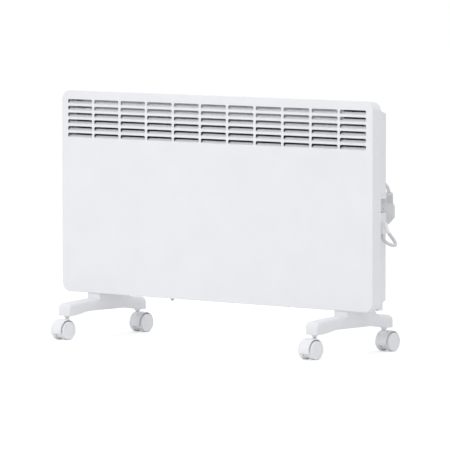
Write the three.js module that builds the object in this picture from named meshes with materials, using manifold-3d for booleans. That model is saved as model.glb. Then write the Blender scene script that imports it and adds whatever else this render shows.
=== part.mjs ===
// Wall panel convector heater standing on two castor feet.
// Millimetres. X runs along the panel, Y from the panel's front to the wall side, Z up.
// The origin is on the floor, midway between the castors and under the middle of the panel.

import * as THREE from 'three';
import { mergeGeometries, mergeVertices } from 'three/addons/utils/BufferGeometryUtils.js';
import Module from 'manifold-3d';

const wasm = await Module();
wasm.setup();

// ---------------------------------------------------------------- driving sizes

const GAP = 0.3; // clearance between neighbours that touch
const SHEET = 0.9; // painted steel sheet

const CASING_WIDTH = 894;
const CASING_HEIGHT = 450;
const CASING_DEPTH = 30;
const CASING_CORNER = 22; // corner radius of the front outline
const CASING_EDGE = 2; // radius from the front onto the sides
const CASING_TAPER = 2.4; // how far the rear rim is drawn in
const PANEL_SETBACK = 34; // front of the panel ahead of the feet's middle

const LOUVRE_SIDE_MARGIN = 15; // least, casing side to the end of a row
const LOUVRE_ROWS = 6;
const LOUVRE_LENGTH = 72;
const LOUVRE_HEIGHT = 9.6;
const LOUVRE_PITCH_X = 78.4;
const LOUVRE_PITCH_Z = 15;
const LOUVRE_TOP_MARGIN = 20; // casing top to the first row's upper edge
const BLADE_DEPTH = 7.5; // how far the pressed blades reach in
const BLADE_RISE = 5.4; // and up

const BODY_DEPTH = 80; // casing front to the rear cover's back
const TRAY_SIDE_INSET = 16; // casing side to the rear cover's side, at its front
const TRAY_SIDE_DRAFT = 13; // further inset of that side at the back
const TRAY_TOP_INSET = 16;
const TRAY_TOP_DRAFT = 13.5;
const TRAY_BOTTOM_INSET = 12;
const TRAY_BOTTOM_DRAFT = 8;
const RIM_CLEARANCE = 0.6; // rear cover's flange inside the casing's rim
const INTAKE_SIDE_MARGIN = 15; // least, rear cover's side to the first slot
const INTAKE_SLOT_LENGTH = 36;
const INTAKE_SLOT_WIDTH = 7;
const INTAKE_PITCH = 50;

const INLET_SIDE_INSET = 10; // casing side to the inlet step's side
const INLET_DEPTH = 17; // how far the inlet step stands behind the casing
const INLET_RISE = 2.6; // its underside above the casing's
const INLET_END_RISE = 9; // its ends stand this much higher, beside the rear cover

const HANG_SLOT_LENGTH = 42;
const HANG_SLOT_HEIGHT = 9;
const HANG_SLOT_X = 200; // panel's middle to the middle of a hanging slot
const HANG_SLOT_DROP = 70; // casing top to the hanging slots
const FIELD_MARGIN = 14; // raised bracket field round the hanging slots
const FIELD_RISE = 2; // how far it stands out of the back

const FOOT_INSET = 91; // casing side to a foot's middle
const FOOT_WIDTH = 37;
const FOOT_LENGTH = 258;
const FOOT_END_RADIUS = 7; // upright corners of the ends
const FOOT_TOP_RADIUS = 8; // along the upper edges
const FOOT_NOSE_RADIUS = 10; // from the top onto the ends
const FOOT_BEAM_HEIGHT = 33.5; // at the neck
const FOOT_END_DROP = 7; // the beam's top falls this much to its ends
const FOOT_ARCH_RISE = 7.4;
const FOOT_ARCH_RUN = 60; // length over which the underside rises
const FOOT_NECK_HEIGHT = 11.2;
const NECK_FRONT = 4; // behind the panel's front
const NECK_LENGTH = 91;
const NECK_FLARE = 20;

const CASTOR_END = 12; // foot's end to its stem
const CASTOR_TRAIL = 13; // stem to wheel axle
const WHEEL_RADIUS = 20;
const WHEEL_WIDTH = 12;
const WHEEL_BEVEL = 1.6;
const WHEEL_SIDES = 24;
const CASTOR_WIDTH = 39; // over both wheels
const HOOD_CLEARANCE = 3;
const HOOD_WALL = 2.2;
const HOOD_WIDTH = 29.5;
const HOOD_LIP_ANGLE = 14; // degrees that the hood's lips reach below the axle
const HOOD_WEB_RADIUS = 18; // web between the wheels
const STEM_SHOW = 2.38; // stem seen between the hood and the foot's collar
const COLLAR_HEIGHT = 4.6; // conical collar under the foot round each stem
const STEM_RADIUS = 4;
const STEM_BOSS_RADIUS = 7;
const AXLE_RADIUS = 3;
const BORE_CLEARANCE = 0.4; // round parts that turn in each other
const SCREW_CLEARANCE = 0.6;

const ROCKER_WIDTH = 27;
const ROCKER_LENGTH = 28;
const ROCKER_TILT = 7; // degrees, to each side of level
const ROCKER_RISE = 225; // casing's underside to the middle of the switch
const ROCKER_BORDER = 2.5; // rocker to the housing's rear edge
const SWITCH_DEPTH = 20;
const HOUSING_LENGTH = 46; // along the rear cover's side
const HOUSING_BELOW = 60; // switch's middle to the housing's lower end
const HOUSING_ABOVE = 22; // and to its upper end
const HOUSING_BAY_HEIGHT = 25; // lower, sunk part that carries the cord guide
const HOUSING_DEPTH = 34;
const HOUSING_PROUD = 2;
const HOUSING_BORDER = 1;

const KNOB_RADIUS = 15.5;
const KNOB_HEIGHT = 10;
const KNOB_INSET = 61; // casing side to the knob's axis
const SHAFT_RADIUS = 3;

const CORD_RADIUS = 3.8;
const CHANNEL_RADIUS = 4.6;

// ---------------------------------------------------------------- derived places

const axleZ = WHEEL_RADIUS * Math.cos(Math.PI / WHEEL_SIDES);
const hoodTop = axleZ + WHEEL_RADIUS + HOOD_CLEARANCE + HOOD_WALL;
const footBottom = hoodTop + STEM_SHOW + COLLAR_HEIGHT;
const beamTop = footBottom + FOOT_BEAM_HEIGHT;
const footTop = beamTop + FOOT_NECK_HEIGHT;
const casingBottom = footTop + GAP;
const casingTop = casingBottom + CASING_HEIGHT;
const casingMiddle = casingBottom + CASING_HEIGHT / 2;
const casingHalfX = CASING_WIDTH / 2;
const casingHalfZ = CASING_HEIGHT / 2;
const footX = casingHalfX - FOOT_INSET;
const castorSpacing = FOOT_LENGTH - 2 * CASTOR_END;
const knobX = casingHalfX - KNOB_INSET;
const rockerZ = casingBottom + ROCKER_RISE;
const rockerY = HOUSING_LENGTH / 2 - ROCKER_BORDER - ROCKER_WIDTH / 2; // in the side frame
const housingBottomZ = rockerZ - HOUSING_BELOW;
const housingStepZ = housingBottomZ + HOUSING_BAY_HEIGHT;
const housingTopZ = rockerZ + HOUSING_ABOVE;
const behind = (depth) => depth - PANEL_SETBACK; // Y of a depth behind the panel's front
const backY = behind(BODY_DEPTH);
const smooth = (t) => {
  const s = Math.min(Math.max(t, 0), 1);
  return s * s * (3 - 2 * s);
};

const trayDraftLength = BODY_DEPTH - CASING_DEPTH;
const traySideX = (depth) =>
  CASING_WIDTH / 2 - TRAY_SIDE_INSET - (TRAY_SIDE_DRAFT * (depth - CASING_DEPTH)) / trayDraftLength;
const trayTopZ = (depth) =>
  casingTop - TRAY_TOP_INSET - (TRAY_TOP_DRAFT * (depth - CASING_DEPTH)) / trayDraftLength;
const trayBottomZ = (depth) =>
  casingBottom + TRAY_BOTTOM_INSET + (TRAY_BOTTOM_DRAFT * (depth - CASING_DEPTH)) / trayDraftLength;
const sideAngle = Math.atan2(TRAY_SIDE_DRAFT, trayDraftLength);
const topAngle = Math.atan2(TRAY_TOP_DRAFT, trayDraftLength);
const midDepth = (CASING_DEPTH + BODY_DEPTH) / 2;

// ---------------------------------------------------------------- materials

const finish = (color, roughness, metalness) =>
  new THREE.MeshStandardMaterial({ color, roughness, metalness });
const casingPaint = finish(0xebecf0, 0.5, 0.0);
const trayPaint = finish(0xdcdde1, 0.5, 0.0);
const footPlastic = finish(0xe8e9ed, 0.45, 0.0);
const castorPlastic = finish(0xf0f1f4, 0.35, 0.0);
const housingPlastic = finish(0xdedfe2, 0.5, 0.0);
const rockerPlastic = finish(0xb9bbbd, 0.4, 0.0);
const plugPlastic = finish(0xcdced1, 0.5, 0.0);
const cordSheath = finish(0xd3d4d7, 0.6, 0.0);
const whiteRubber = finish(0xeeeff2, 0.4, 0.0);
const zincSteel = finish(0xb4b6b8, 0.35, 0.9);
const aluminium = finish(0xc4c6c8, 0.4, 0.9);
const nickelBrass = finish(0xc9c6bd, 0.3, 0.9);
const darkPlastic = finish(0x3c3d3f, 0.6, 0.0);
const blueSheath = finish(0x3c6ea8, 0.5, 0.0);
const brownSheath = finish(0x6e4a33, 0.5, 0.0);

// ---------------------------------------------------------------- geometry helpers

function toSolid(geometry) {
  const bare = geometry.clone();
  for (const name of Object.keys(bare.attributes)) {
    if (name !== 'position') bare.deleteAttribute(name);
  }
  const merged = mergeVertices(bare, 1e-4);
  return new wasm.Manifold(
    new wasm.Mesh({
      numProp: 3,
      vertProperties: new Float32Array(merged.attributes.position.array),
      triVerts: new Uint32Array(merged.index.array),
    }),
  );
}

function toGeometry(solid) {
  const mesh = solid.getMesh();
  const geometry = new THREE.BufferGeometry();
  geometry.setAttribute('position', new THREE.BufferAttribute(mesh.vertProperties, 3));
  geometry.setIndex(new THREE.BufferAttribute(mesh.triVerts, 1));
  geometry.computeVertexNormals();
  return geometry;
}

function join(...geometries) {
  const solids = geometries.map(toSolid);
  return toGeometry(solids.reduce((all, next) => all.add(next)));
}

function cut(geometry, ...tools) {
  const solids = tools.map(toSolid);
  return toGeometry(solids.reduce((rest, tool) => rest.subtract(tool), toSolid(geometry)));
}

// Several separate solids in one geometry, such as all the louvres' windows.
function group(geometries) {
  return mergeGeometries(
    geometries.map((each) => {
      const bare = each.index ? each.toNonIndexed() : each.clone();
      for (const name of Object.keys(bare.attributes)) {
        if (name !== 'position') bare.deleteAttribute(name);
      }
      return bare;
    }),
  );
}

function box(x0, x1, y0, y1, z0, z1) {
  const geometry = new THREE.BoxGeometry(x1 - x0, y1 - y0, z1 - z0);
  return geometry.translate((x0 + x1) / 2, (y0 + y1) / 2, (z0 + z1) / 2);
}

function rodZ(radius, z0, z1, sides = 16) {
  const geometry = new THREE.CylinderGeometry(radius, radius, z1 - z0, sides);
  return geometry.rotateX(Math.PI / 2).translate(0, 0, (z0 + z1) / 2);
}

function rodX(radius, x0, x1, sides = 16) {
  const geometry = new THREE.CylinderGeometry(radius, radius, x1 - x0, sides);
  return geometry.rotateZ(Math.PI / 2).translate((x0 + x1) / 2, 0, 0);
}

function rodY(radius, y0, y1, sides = 16) {
  const geometry = new THREE.CylinderGeometry(radius, radius, y1 - y0, sides);
  return geometry.translate(0, (y0 + y1) / 2, 0);
}

// Pairs of radius and height, from the axis back to the axis, turned about Z.
function latheZ(profile, sides) {
  const points = profile.map(([radius, height]) => new THREE.Vector2(radius, height));
  return outward(new THREE.LatheGeometry(points, sides)).rotateX(Math.PI / 2);
}

function extrude(points, depth) {
  const shape = new THREE.Shape(points.map(([u, v]) => new THREE.Vector2(u, v)));
  return new THREE.ExtrudeGeometry(shape, { depth, bevelEnabled: false, steps: 1 });
}

// An outline in Y and Z, drawn out along X.
function prismX(points, x0, x1) {
  const basis = new THREE.Matrix4().makeBasis(
    new THREE.Vector3(0, 1, 0),
    new THREE.Vector3(0, 0, 1),
    new THREE.Vector3(1, 0, 0),
  );
  return extrude(points, x1 - x0).applyMatrix4(basis).translate(x0, 0, 0);
}

// An outline in X and Z, drawn out along Y.
function prismY(points, y0, y1) {
  return extrude(points, y1 - y0).rotateX(Math.PI / 2).translate(0, y1, 0);
}

// An outline in X and Y, drawn out along Z.
function prismZ(points, z0, z1) {
  return extrude(points, z1 - z0).translate(0, 0, z0);
}

// A closed skin over rings of as many points each, with flat ends.
function loft(rings) {
  const count = rings[0].length;
  const positions = rings.flat().flatMap((p) => [p.x, p.y, p.z]);
  const index = [];
  for (let r = 0; r + 1 < rings.length; r += 1) {
    for (let i = 0; i < count; i += 1) {
      const a = r * count + i;
      const b = r * count + ((i + 1) % count);
      index.push(a, b, a + count, b, b + count, a + count);
    }
  }
  const last = (rings.length - 1) * count;
  for (let i = 1; i + 1 < count; i += 1) {
    index.push(0, i + 1, i, last, last + i, last + i + 1);
  }
  const geometry = new THREE.BufferGeometry();
  geometry.setAttribute('position', new THREE.Float32BufferAttribute(positions, 3));
  geometry.setIndex(index);
  return outward(geometry);
}

// Turns a closed skin inside out if its faces point in.
function outward(geometry) {
  const index = geometry.index.array;
  const at = (i) => new THREE.Vector3().fromBufferAttribute(geometry.attributes.position, i);
  let volume = 0;
  for (let i = 0; i < index.length; i += 3) {
    volume += at(index[i]).dot(at(index[i + 1]).cross(at(index[i + 2])));
  }
  if (volume < 0) {
    const turned = [];
    for (let i = 0; i < index.length; i += 3) turned.push(index[i], index[i + 2], index[i + 1]);
    geometry.setIndex(turned);
  }
  return geometry;
}

// A rounded rectangle in X and Z at one Y.
function roundedRing(halfX, halfZ, radius, y, middleZ, steps = 4) {
  const ring = [];
  for (let corner = 0; corner < 4; corner += 1) {
    const sx = corner === 0 || corner === 3 ? 1 : -1;
    const sz = corner < 2 ? 1 : -1;
    for (let i = 0; i <= steps; i += 1) {
      const angle = ((corner + i / steps) * Math.PI) / 2;
      const x = sx * (halfX - radius) + radius * Math.cos(angle);
      const z = sz * (halfZ - radius) + radius * Math.sin(angle);
      ring.push(new THREE.Vector3(x, y, middleZ + z));
    }
  }
  return ring;
}

// A round tube along a smooth curve through the points.
function tube(points, radius, sides, steps) {
  const curve = new THREE.CatmullRomCurve3(points.map((p) => new THREE.Vector3(...p)));
  const section = new THREE.Shape();
  for (let i = 0; i < sides; i += 1) {
    const angle = (i * 2 * Math.PI) / sides;
    const x = radius * Math.cos(angle);
    const y = radius * Math.sin(angle);
    if (i === 0) section.moveTo(x, y);
    else section.lineTo(x, y);
  }
  section.closePath();
  return new THREE.ExtrudeGeometry(section, { extrudePath: curve, steps, bevelEnabled: false });
}

// Route points, given as the distance in from the casing's right side, the distance back from
// a depth behind the panel's front, and the height above the switch's middle.
const routeFrom = (depth, points) =>
  points.map(([inset, back, rise]) => [casingHalfX - inset, behind(depth + back), rockerZ + rise]);

// The same, given as the distance off the rear cover's side, the distance along it to the back
// from its middle, and the height above the switch's middle.
const besideCover = (points) =>
  points.map(([out, along, rise]) =>
    new THREE.Vector3(out, along, rockerZ + rise).applyMatrix4(sideFrame.matrixWorld).toArray(),
  );

const heater = new THREE.Group();

function piece(name, geometry, material, parent = heater) {
  const mesh = new THREE.Mesh(geometry, material);
  mesh.name = name;
  parent.add(mesh);
  return mesh;
}

// ---------------------------------------------------------------- front casing

function casingRing(inset, depth) {
  const radius = Math.max(CASING_CORNER - inset, 1);
  return roundedRing(casingHalfX - inset, casingHalfZ - inset, radius, behind(depth), casingMiddle);
}

function casingInset(depth) {
  const along = (depth - CASING_EDGE) / (CASING_DEPTH - CASING_EDGE);
  return CASING_TAPER * Math.max(along, 0);
}

function louvrePlaces() {
  const rowLength = CASING_WIDTH - 2 * LOUVRE_SIDE_MARGIN;
  const columns = 1 + Math.floor((rowLength - LOUVRE_LENGTH) / LOUVRE_PITCH_X);
  const firstX = (-(columns - 1) / 2) * LOUVRE_PITCH_X;
  const firstZ = casingTop - LOUVRE_TOP_MARGIN - LOUVRE_HEIGHT / 2;
  const places = [];
  for (let row = 0; row < LOUVRE_ROWS; row += 1) {
    for (let column = 0; column < columns; column += 1) {
      places.push([firstX + column * LOUVRE_PITCH_X, firstZ - row * LOUVRE_PITCH_Z]);
    }
  }
  return places;
}

function louvreWindow(x, z) {
  const a = LOUVRE_LENGTH / 2;
  const b = LOUVRE_HEIGHT / 2;
  return box(x - a, x + a, behind(-1), behind(SHEET + 1), z - b, z + b);
}

function louvreBlade(x, z) {
  const foot = -LOUVRE_HEIGHT / 2;
  const profile = [
    [behind(0.2), foot - SHEET / 2],
    [behind(SHEET), foot - SHEET],
    [behind(BLADE_DEPTH), foot + BLADE_RISE - SHEET],
    [behind(BLADE_DEPTH), foot + BLADE_RISE],
    [behind(0.2), foot + 0.1],
  ];
  const half = LOUVRE_LENGTH / 2 + 1;
  return prismX(profile, x - half, x + half).translate(0, 0, z);
}

const flangeFront = CASING_DEPTH - 2.4; // the rear cover's flange lies just inside the casing's rim
const flangeBack = flangeFront + SHEET;
const flangeInset = CASING_TAPER + SHEET + RIM_CLEARANCE;

const TAB_SIZE = 14;
const tabBack = flangeFront - GAP; // the casing's screw tabs lie under the flange
const coverScrewPlaces = [-1, 1].flatMap((side) =>
  [0.18, 0.82].map((share) => [
    side * (casingHalfX - TRAY_SIDE_INSET / 2 - CASING_TAPER),
    casingBottom + share * CASING_HEIGHT,
  ]),
);
const COVER_SCREW_RADIUS = 1.8;

function screwTab(x, z) {
  const wallX = casingHalfX - CASING_TAPER - SHEET / 2;
  const side = Math.sign(x);
  const inner = side * (Math.abs(x) - TAB_SIZE / 2);
  const outer = side * wallX;
  return box(
    Math.min(inner, outer), Math.max(inner, outer),
    behind(tabBack - SHEET), behind(tabBack),
    z - TAB_SIZE / 2, z + TAB_SIZE / 2,
  );
}

function coverScrewHole(x, z) {
  const hole = rodY(COVER_SCREW_RADIUS + SCREW_CLEARANCE, behind(tabBack - 4), behind(CASING_DEPTH + 2), 8);
  return hole.translate(x, 0, z);
}

const LOCK_SCREW_X = -132;
const LOCK_SCREW_DEPTH = 15;
const LOCK_SCREW_HEAD_RADIUS = 3.8;
const LOCK_SCREW_HEAD = 5.6;
const LOCK_SCREW_RADIUS = 2.2;

function frontCasing() {
  const diagonal = CASING_EDGE * (1 - Math.SQRT1_2);
  const outer = loft([
    casingRing(CASING_EDGE, 0),
    casingRing(diagonal, diagonal),
    casingRing(0, CASING_EDGE),
    casingRing(CASING_TAPER, CASING_DEPTH),
  ]);
  const inner = loft([
    casingRing(SHEET + casingInset(SHEET), SHEET),
    casingRing(SHEET + CASING_TAPER, CASING_DEPTH + 0.001),
    casingRing(SHEET + CASING_TAPER, CASING_DEPTH + 1),
  ]);
  const windows = group(louvrePlaces().map(([x, z]) => louvreWindow(x, z)));
  const blades = louvrePlaces().map(([x, z]) => louvreBlade(x, z));
  const shell = cut(outer, inner, windows);
  const tabs = coverScrewPlaces.map(([x, z]) => screwTab(x, z));
  const holes = coverScrewPlaces.map(([x, z]) => coverScrewHole(x, z));
  return cut(join(shell, ...blades, ...tabs), lockHole(), ...holes, ...footScrewHoles());
}

// ---------------------------------------------------------------- rear cover

function frustum(extra, frontDepth, backDepth) {
  const ring = (depth) => {
    const x = traySideX(depth) - extra;
    const top = trayTopZ(depth) - extra;
    const bottom = trayBottomZ(depth) + extra;
    return [
      new THREE.Vector3(x, behind(depth), top),
      new THREE.Vector3(-x, behind(depth), top),
      new THREE.Vector3(-x, behind(depth), bottom),
      new THREE.Vector3(x, behind(depth), bottom),
    ];
  };
  return loft([ring(frontDepth), ring(backDepth)]);
}

function intakeSlots(width, depth0, depth1, z0, z1) {
  const rowLength = 2 * (traySideX(BODY_DEPTH) - INTAKE_SIDE_MARGIN);
  const count = 1 + Math.floor((rowLength - INTAKE_SLOT_LENGTH) / INTAKE_PITCH);
  const slots = [];
  for (let i = 0; i < count; i += 1) {
    const x = (i - (count - 1) / 2) * INTAKE_PITCH;
    slots.push(box(x - width / 2, x + width / 2, behind(depth0), behind(depth1), z0, z1));
  }
  return slots;
}

// The side frame sits on the right side of the rear cover: X out of the side, Y along it to the back.
const sideFrame = new THREE.Group();
sideFrame.position.set(traySideX(midDepth), behind(midDepth), 0);
sideFrame.rotation.z = sideAngle;
heater.add(sideFrame);
sideFrame.updateMatrixWorld(true);
const inSideFrame = (geometry) => geometry.clone().applyMatrix4(sideFrame.matrixWorld.clone().invert());
const fromSideFrame = (geometry) => geometry.clone().applyMatrix4(sideFrame.matrixWorld);

// The top frame sits on the rear cover's sloped top: Z out of the slope.
const topFrame = new THREE.Group();
topFrame.position.set(knobX, behind(midDepth), trayTopZ(midDepth));
topFrame.rotation.x = -topAngle;
heater.add(topFrame);
topFrame.updateMatrixWorld(true);
const fromTopFrame = (geometry) => geometry.clone().applyMatrix4(topFrame.matrixWorld);

function housingOpening(clearance) {
  const half = HOUSING_LENGTH / 2 - HOUSING_BORDER + clearance;
  return box(
    -HOUSING_DEPTH - 2, HOUSING_PROUD + 4, -half, half,
    housingBottomZ + HOUSING_BORDER - clearance, housingTopZ - HOUSING_BORDER + clearance,
  );
}

// Pressed field on the back, with the hanging slots in it, that lies against a wall bracket.
function bracketField(inset, front, back) {
  const halfX = HANG_SLOT_X + HANG_SLOT_LENGTH / 2 + FIELD_MARGIN - inset;
  const halfZ = HANG_SLOT_HEIGHT / 2 + FIELD_MARGIN - inset;
  const middleZ = casingTop - HANG_SLOT_DROP - HANG_SLOT_HEIGHT / 2;
  return box(-halfX, halfX, front, back, middleZ - halfZ, middleZ + halfZ);
}

function rearCover() {
  const flange = loft([
    casingRing(flangeInset, flangeFront),
    casingRing(flangeInset, flangeBack),
  ]);
  const inner = frustum(SHEET, flangeFront - 1, BODY_DEPTH - SHEET);
  const tray = cut(join(flange, frustum(0, flangeFront, BODY_DEPTH)), inner);
  const fieldBack = backY + FIELD_RISE;
  const shell = cut(
    join(tray, bracketField(0, backY - SHEET, fieldBack)),
    bracketField(SHEET, backY - 2 * SHEET, fieldBack - SHEET),
  );
  const slots = intakeSlots(
    INTAKE_SLOT_LENGTH, CASING_DEPTH + INLET_DEPTH + 6, BODY_DEPTH - 6,
    casingBottom, trayBottomZ(BODY_DEPTH) + 4,
  );
  const inletMouth = box(
    -traySideX(CASING_DEPTH) + 20, traySideX(CASING_DEPTH) - 20, behind(flangeFront - 1),
    behind(flangeBack + 1), casingBottom, trayBottomZ(CASING_DEPTH) - SHEET,
  );
  const hangSlots = [-1, 1].map((side) =>
    box(
      side * HANG_SLOT_X - HANG_SLOT_LENGTH / 2, side * HANG_SLOT_X + HANG_SLOT_LENGTH / 2,
      backY - 3, fieldBack + 1,
      casingTop - HANG_SLOT_DROP - HANG_SLOT_HEIGHT, casingTop - HANG_SLOT_DROP,
    ),
  );
  const holes = coverScrewPlaces.map(([x, z]) => coverScrewHole(x, z));
  return cut(
    shell, ...slots, inletMouth, ...hangSlots, ...holes,
    fromSideFrame(housingOpening(GAP)), cordChannel(),
    fromTopFrame(rodZ(SHAFT_RADIUS + BORE_CLEARANCE, -8, 4)),
  );
}

function inletGrille() {
  const half = casingHalfX - INLET_SIDE_INSET;
  const bottom = casingBottom + INLET_RISE;
  const back = CASING_DEPTH + INLET_DEPTH;
  const top = trayBottomZ(CASING_DEPTH) + INLET_END_RISE;
  const outer = box(-half, half, behind(CASING_DEPTH + GAP), behind(back), bottom, top);
  const inner = box(
    -half + SHEET, half - SHEET, behind(CASING_DEPTH - 1), behind(back - SHEET), bottom + SHEET, top + 1,
  );
  const slotBack = back - SHEET - 2;
  const slots = intakeSlots(
    INTAKE_SLOT_LENGTH, slotBack - INTAKE_SLOT_WIDTH, slotBack, bottom - 1, bottom + SHEET + 1,
  );
  return cut(outer, inner, frustum(-GAP, CASING_DEPTH - 1, back + 1), ...slots);
}

// ---------------------------------------------------------------- screws

// A round-headed screw along Y, head at the back.
function screwY(x, y, z, headRadius, headHeight, shankRadius, shankLength) {
  const profile = [
    [0, -shankLength],
    [shankRadius, -shankLength],
    [shankRadius, 0],
    [headRadius, 0],
    [headRadius * 0.85, headHeight * 0.75],
    [0, headHeight],
  ];
  return latheZ(profile, 10).rotateX(-Math.PI / 2).translate(x, y, z);
}

function coverScrew([x, z]) {
  return screwY(x, behind(flangeBack + GAP), z, 3.6, 2.2, COVER_SCREW_RADIUS, 7);
}

function lockScrew() {
  const head = rodZ(LOCK_SCREW_HEAD_RADIUS, casingBottom - GAP - LOCK_SCREW_HEAD, casingBottom - GAP, 14);
  const shank = rodZ(LOCK_SCREW_RADIUS, casingBottom - GAP - 1, casingBottom + 7.5, 14);
  return join(head, shank).translate(LOCK_SCREW_X, behind(LOCK_SCREW_DEPTH), 0);
}

// ---------------------------------------------------------------- feet

const FOOT_SCREW_RADIUS = 3;
const FOOT_SCREW_HEAD_RADIUS = 5.5;
const FOOT_SCREW_HEAD = 4;
const FOOT_SCREW_SINK = 14; // how deep the heads sit in the foot
const FOOT_SCREW_DEPTH = 16; // behind the panel's front
const footScrewPlaces = [-1, 1].map((side) => [side * footX, behind(FOOT_SCREW_DEPTH)]);

function footScrewHoles() {
  return footScrewPlaces.map(([x, y]) =>
    rodZ(FOOT_SCREW_RADIUS + SCREW_CLEARANCE, footBottom, casingBottom + 12, 10).translate(x, y, 0),
  );
}

const archAt = (y) => FOOT_ARCH_RISE * smooth((castorSpacing / 2 - Math.abs(y)) / FOOT_ARCH_RUN);
const beamDropAt = (y) => FOOT_END_DROP * (Math.abs(y) / (FOOT_LENGTH / 2)) ** 2;

// Section of the foot at one Y: flat underside, upright sides, rounded upper edges.
function footRing(y, end) {
  const short = FOOT_END_RADIUS - Math.min(end, FOOT_END_RADIUS);
  const half = FOOT_WIDTH / 2 - FOOT_END_RADIUS + Math.sqrt(FOOT_END_RADIUS ** 2 - short ** 2);
  const bottom = footBottom + archAt(y);
  const round = Math.min(FOOT_TOP_RADIUS, half * 0.9);
  const tip = 1 - Math.min(end / FOOT_NOSE_RADIUS, 1);
  const top = beamTop - beamDropAt(y) - FOOT_NOSE_RADIUS * (1 - Math.sqrt(1 - tip * tip));
  const ring = [new THREE.Vector3(half, y, bottom)];
  for (let i = 0; i <= 3; i += 1) {
    const angle = (i * Math.PI) / 6;
    const x = half - round + round * Math.cos(angle);
    ring.push(new THREE.Vector3(x, y, top - round + round * Math.sin(angle)));
  }
  const otherSide = ring.map((point) => new THREE.Vector3(-point.x, y, point.z)).reverse();
  return [...ring, ...otherSide];
}

function footBeam() {
  const half = FOOT_LENGTH / 2;
  const ends = [0.3, 1.2, 3, FOOT_END_RADIUS, FOOT_NOSE_RADIUS];
  const bends = [0.28, 0.53, 0.78].map((share) => castorSpacing / 2 - share * FOOT_ARCH_RUN);
  const rings = [
    ...ends.map((end) => footRing(end - half, end)),
    ...bends.map((y) => footRing(-y, FOOT_NOSE_RADIUS)),
    footRing(0, FOOT_NOSE_RADIUS),
    ...bends.map((y) => footRing(y, FOOT_NOSE_RADIUS)).reverse(),
    ...ends.map((end) => footRing(half - end, end)).reverse(),
  ];
  return loft(rings);
}

function footNeck() {
  const front = behind(NECK_FRONT);
  const back = front + NECK_LENGTH;
  const low = beamTop - FOOT_TOP_RADIUS - 2;
  const profile = [
    [front, low],
    [back + NECK_FLARE, low],
    [back + NECK_FLARE, beamTop - 3],
    [back + NECK_FLARE * 0.55, beamTop + 1.5],
    [back + NECK_FLARE * 0.2, beamTop + FOOT_NECK_HEIGHT * 0.45],
    [back, footTop],
    [front, footTop],
  ];
  return prismX(profile, -FOOT_WIDTH / 2, FOOT_WIDTH / 2);
}

const COLLAR_RADIUS = 7.5;
const COLLAR_TIP_RADIUS = 5.8;
const STEM_TOP = 15; // stem's reach into the foot

function castorCollar() {
  const low = footBottom - COLLAR_HEIGHT;
  const profile = [
    [0, low], [COLLAR_TIP_RADIUS, low], [COLLAR_RADIUS, footBottom], [COLLAR_RADIUS, footBottom + 2],
    [0, footBottom + 2],
  ];
  return latheZ(profile, 16);
}

function foot(side) {
  const stemX = side * footX;
  const stemY = [-castorSpacing / 2, castorSpacing / 2];
  const collars = stemY.map((y) => castorCollar().translate(stemX, y, 0));
  const whole = join(footBeam().translate(stemX, 0, 0), footNeck().translate(stemX, 0, 0), ...collars);
  const bores = stemY.map((y) =>
    rodZ(STEM_RADIUS + BORE_CLEARANCE, footBottom - 10, footBottom + STEM_TOP + BORE_CLEARANCE).translate(
      stemX, y, 0,
    ),
  );
  const headRoom = footScrewPlaces.map(([x, y]) =>
    rodZ(FOOT_SCREW_HEAD_RADIUS + 1, footBottom - 1, screwSeat + GAP, 12).translate(x, y, 0),
  );
  return cut(whole, ...bores, ...headRoom, ...footScrewHoles());
}

const screwSeat = footBottom + FOOT_ARCH_RISE + FOOT_SCREW_SINK - GAP;

function footScrew([x, y]) {
  const head = rodZ(FOOT_SCREW_HEAD_RADIUS, screwSeat - FOOT_SCREW_HEAD, screwSeat, 12);
  const end = casingBottom + SHEET + CASING_TAPER + RAIL_SHEET + 4;
  const shank = rodZ(FOOT_SCREW_RADIUS, screwSeat - 1, end, 12);
  return join(head, shank).translate(x, y, 0);
}

const RAIL_OVERHANG = 34; // beyond the middle of each foot
const RAIL_WIDTH = 20;
const RAIL_HEIGHT = 16;
const RAIL_SHEET = 2;
const RAIL_DEPTH = 5.5; // front of the rail behind the panel's front

function lockHole() {
  const hole = rodZ(LOCK_SCREW_RADIUS + SCREW_CLEARANCE, casingBottom - 1, casingBottom + 9, 10);
  return hole.translate(LOCK_SCREW_X, behind(LOCK_SCREW_DEPTH), 0);
}

// Angle rail inside the casing that both feet's screws pull on.
function baseRail() {
  const bottom = casingBottom + SHEET + CASING_TAPER + GAP;
  const front = behind(RAIL_DEPTH);
  const half = footX + RAIL_OVERHANG;
  const plate = box(-half, half, front, front + RAIL_WIDTH, bottom, bottom + RAIL_SHEET);
  const upright = box(-half, half, front, front + RAIL_SHEET, bottom, bottom + RAIL_HEIGHT);
  return cut(join(plate, upright), lockHole(), ...footScrewHoles());
}

// ---------------------------------------------------------------- castors

function castorStem() {
  return rodZ(STEM_RADIUS, axleZ - 2, footBottom + STEM_TOP);
}

const webHalf = (CASTOR_WIDTH - 2 * WHEEL_WIDTH) / 2 - BORE_CLEARANCE;

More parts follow.
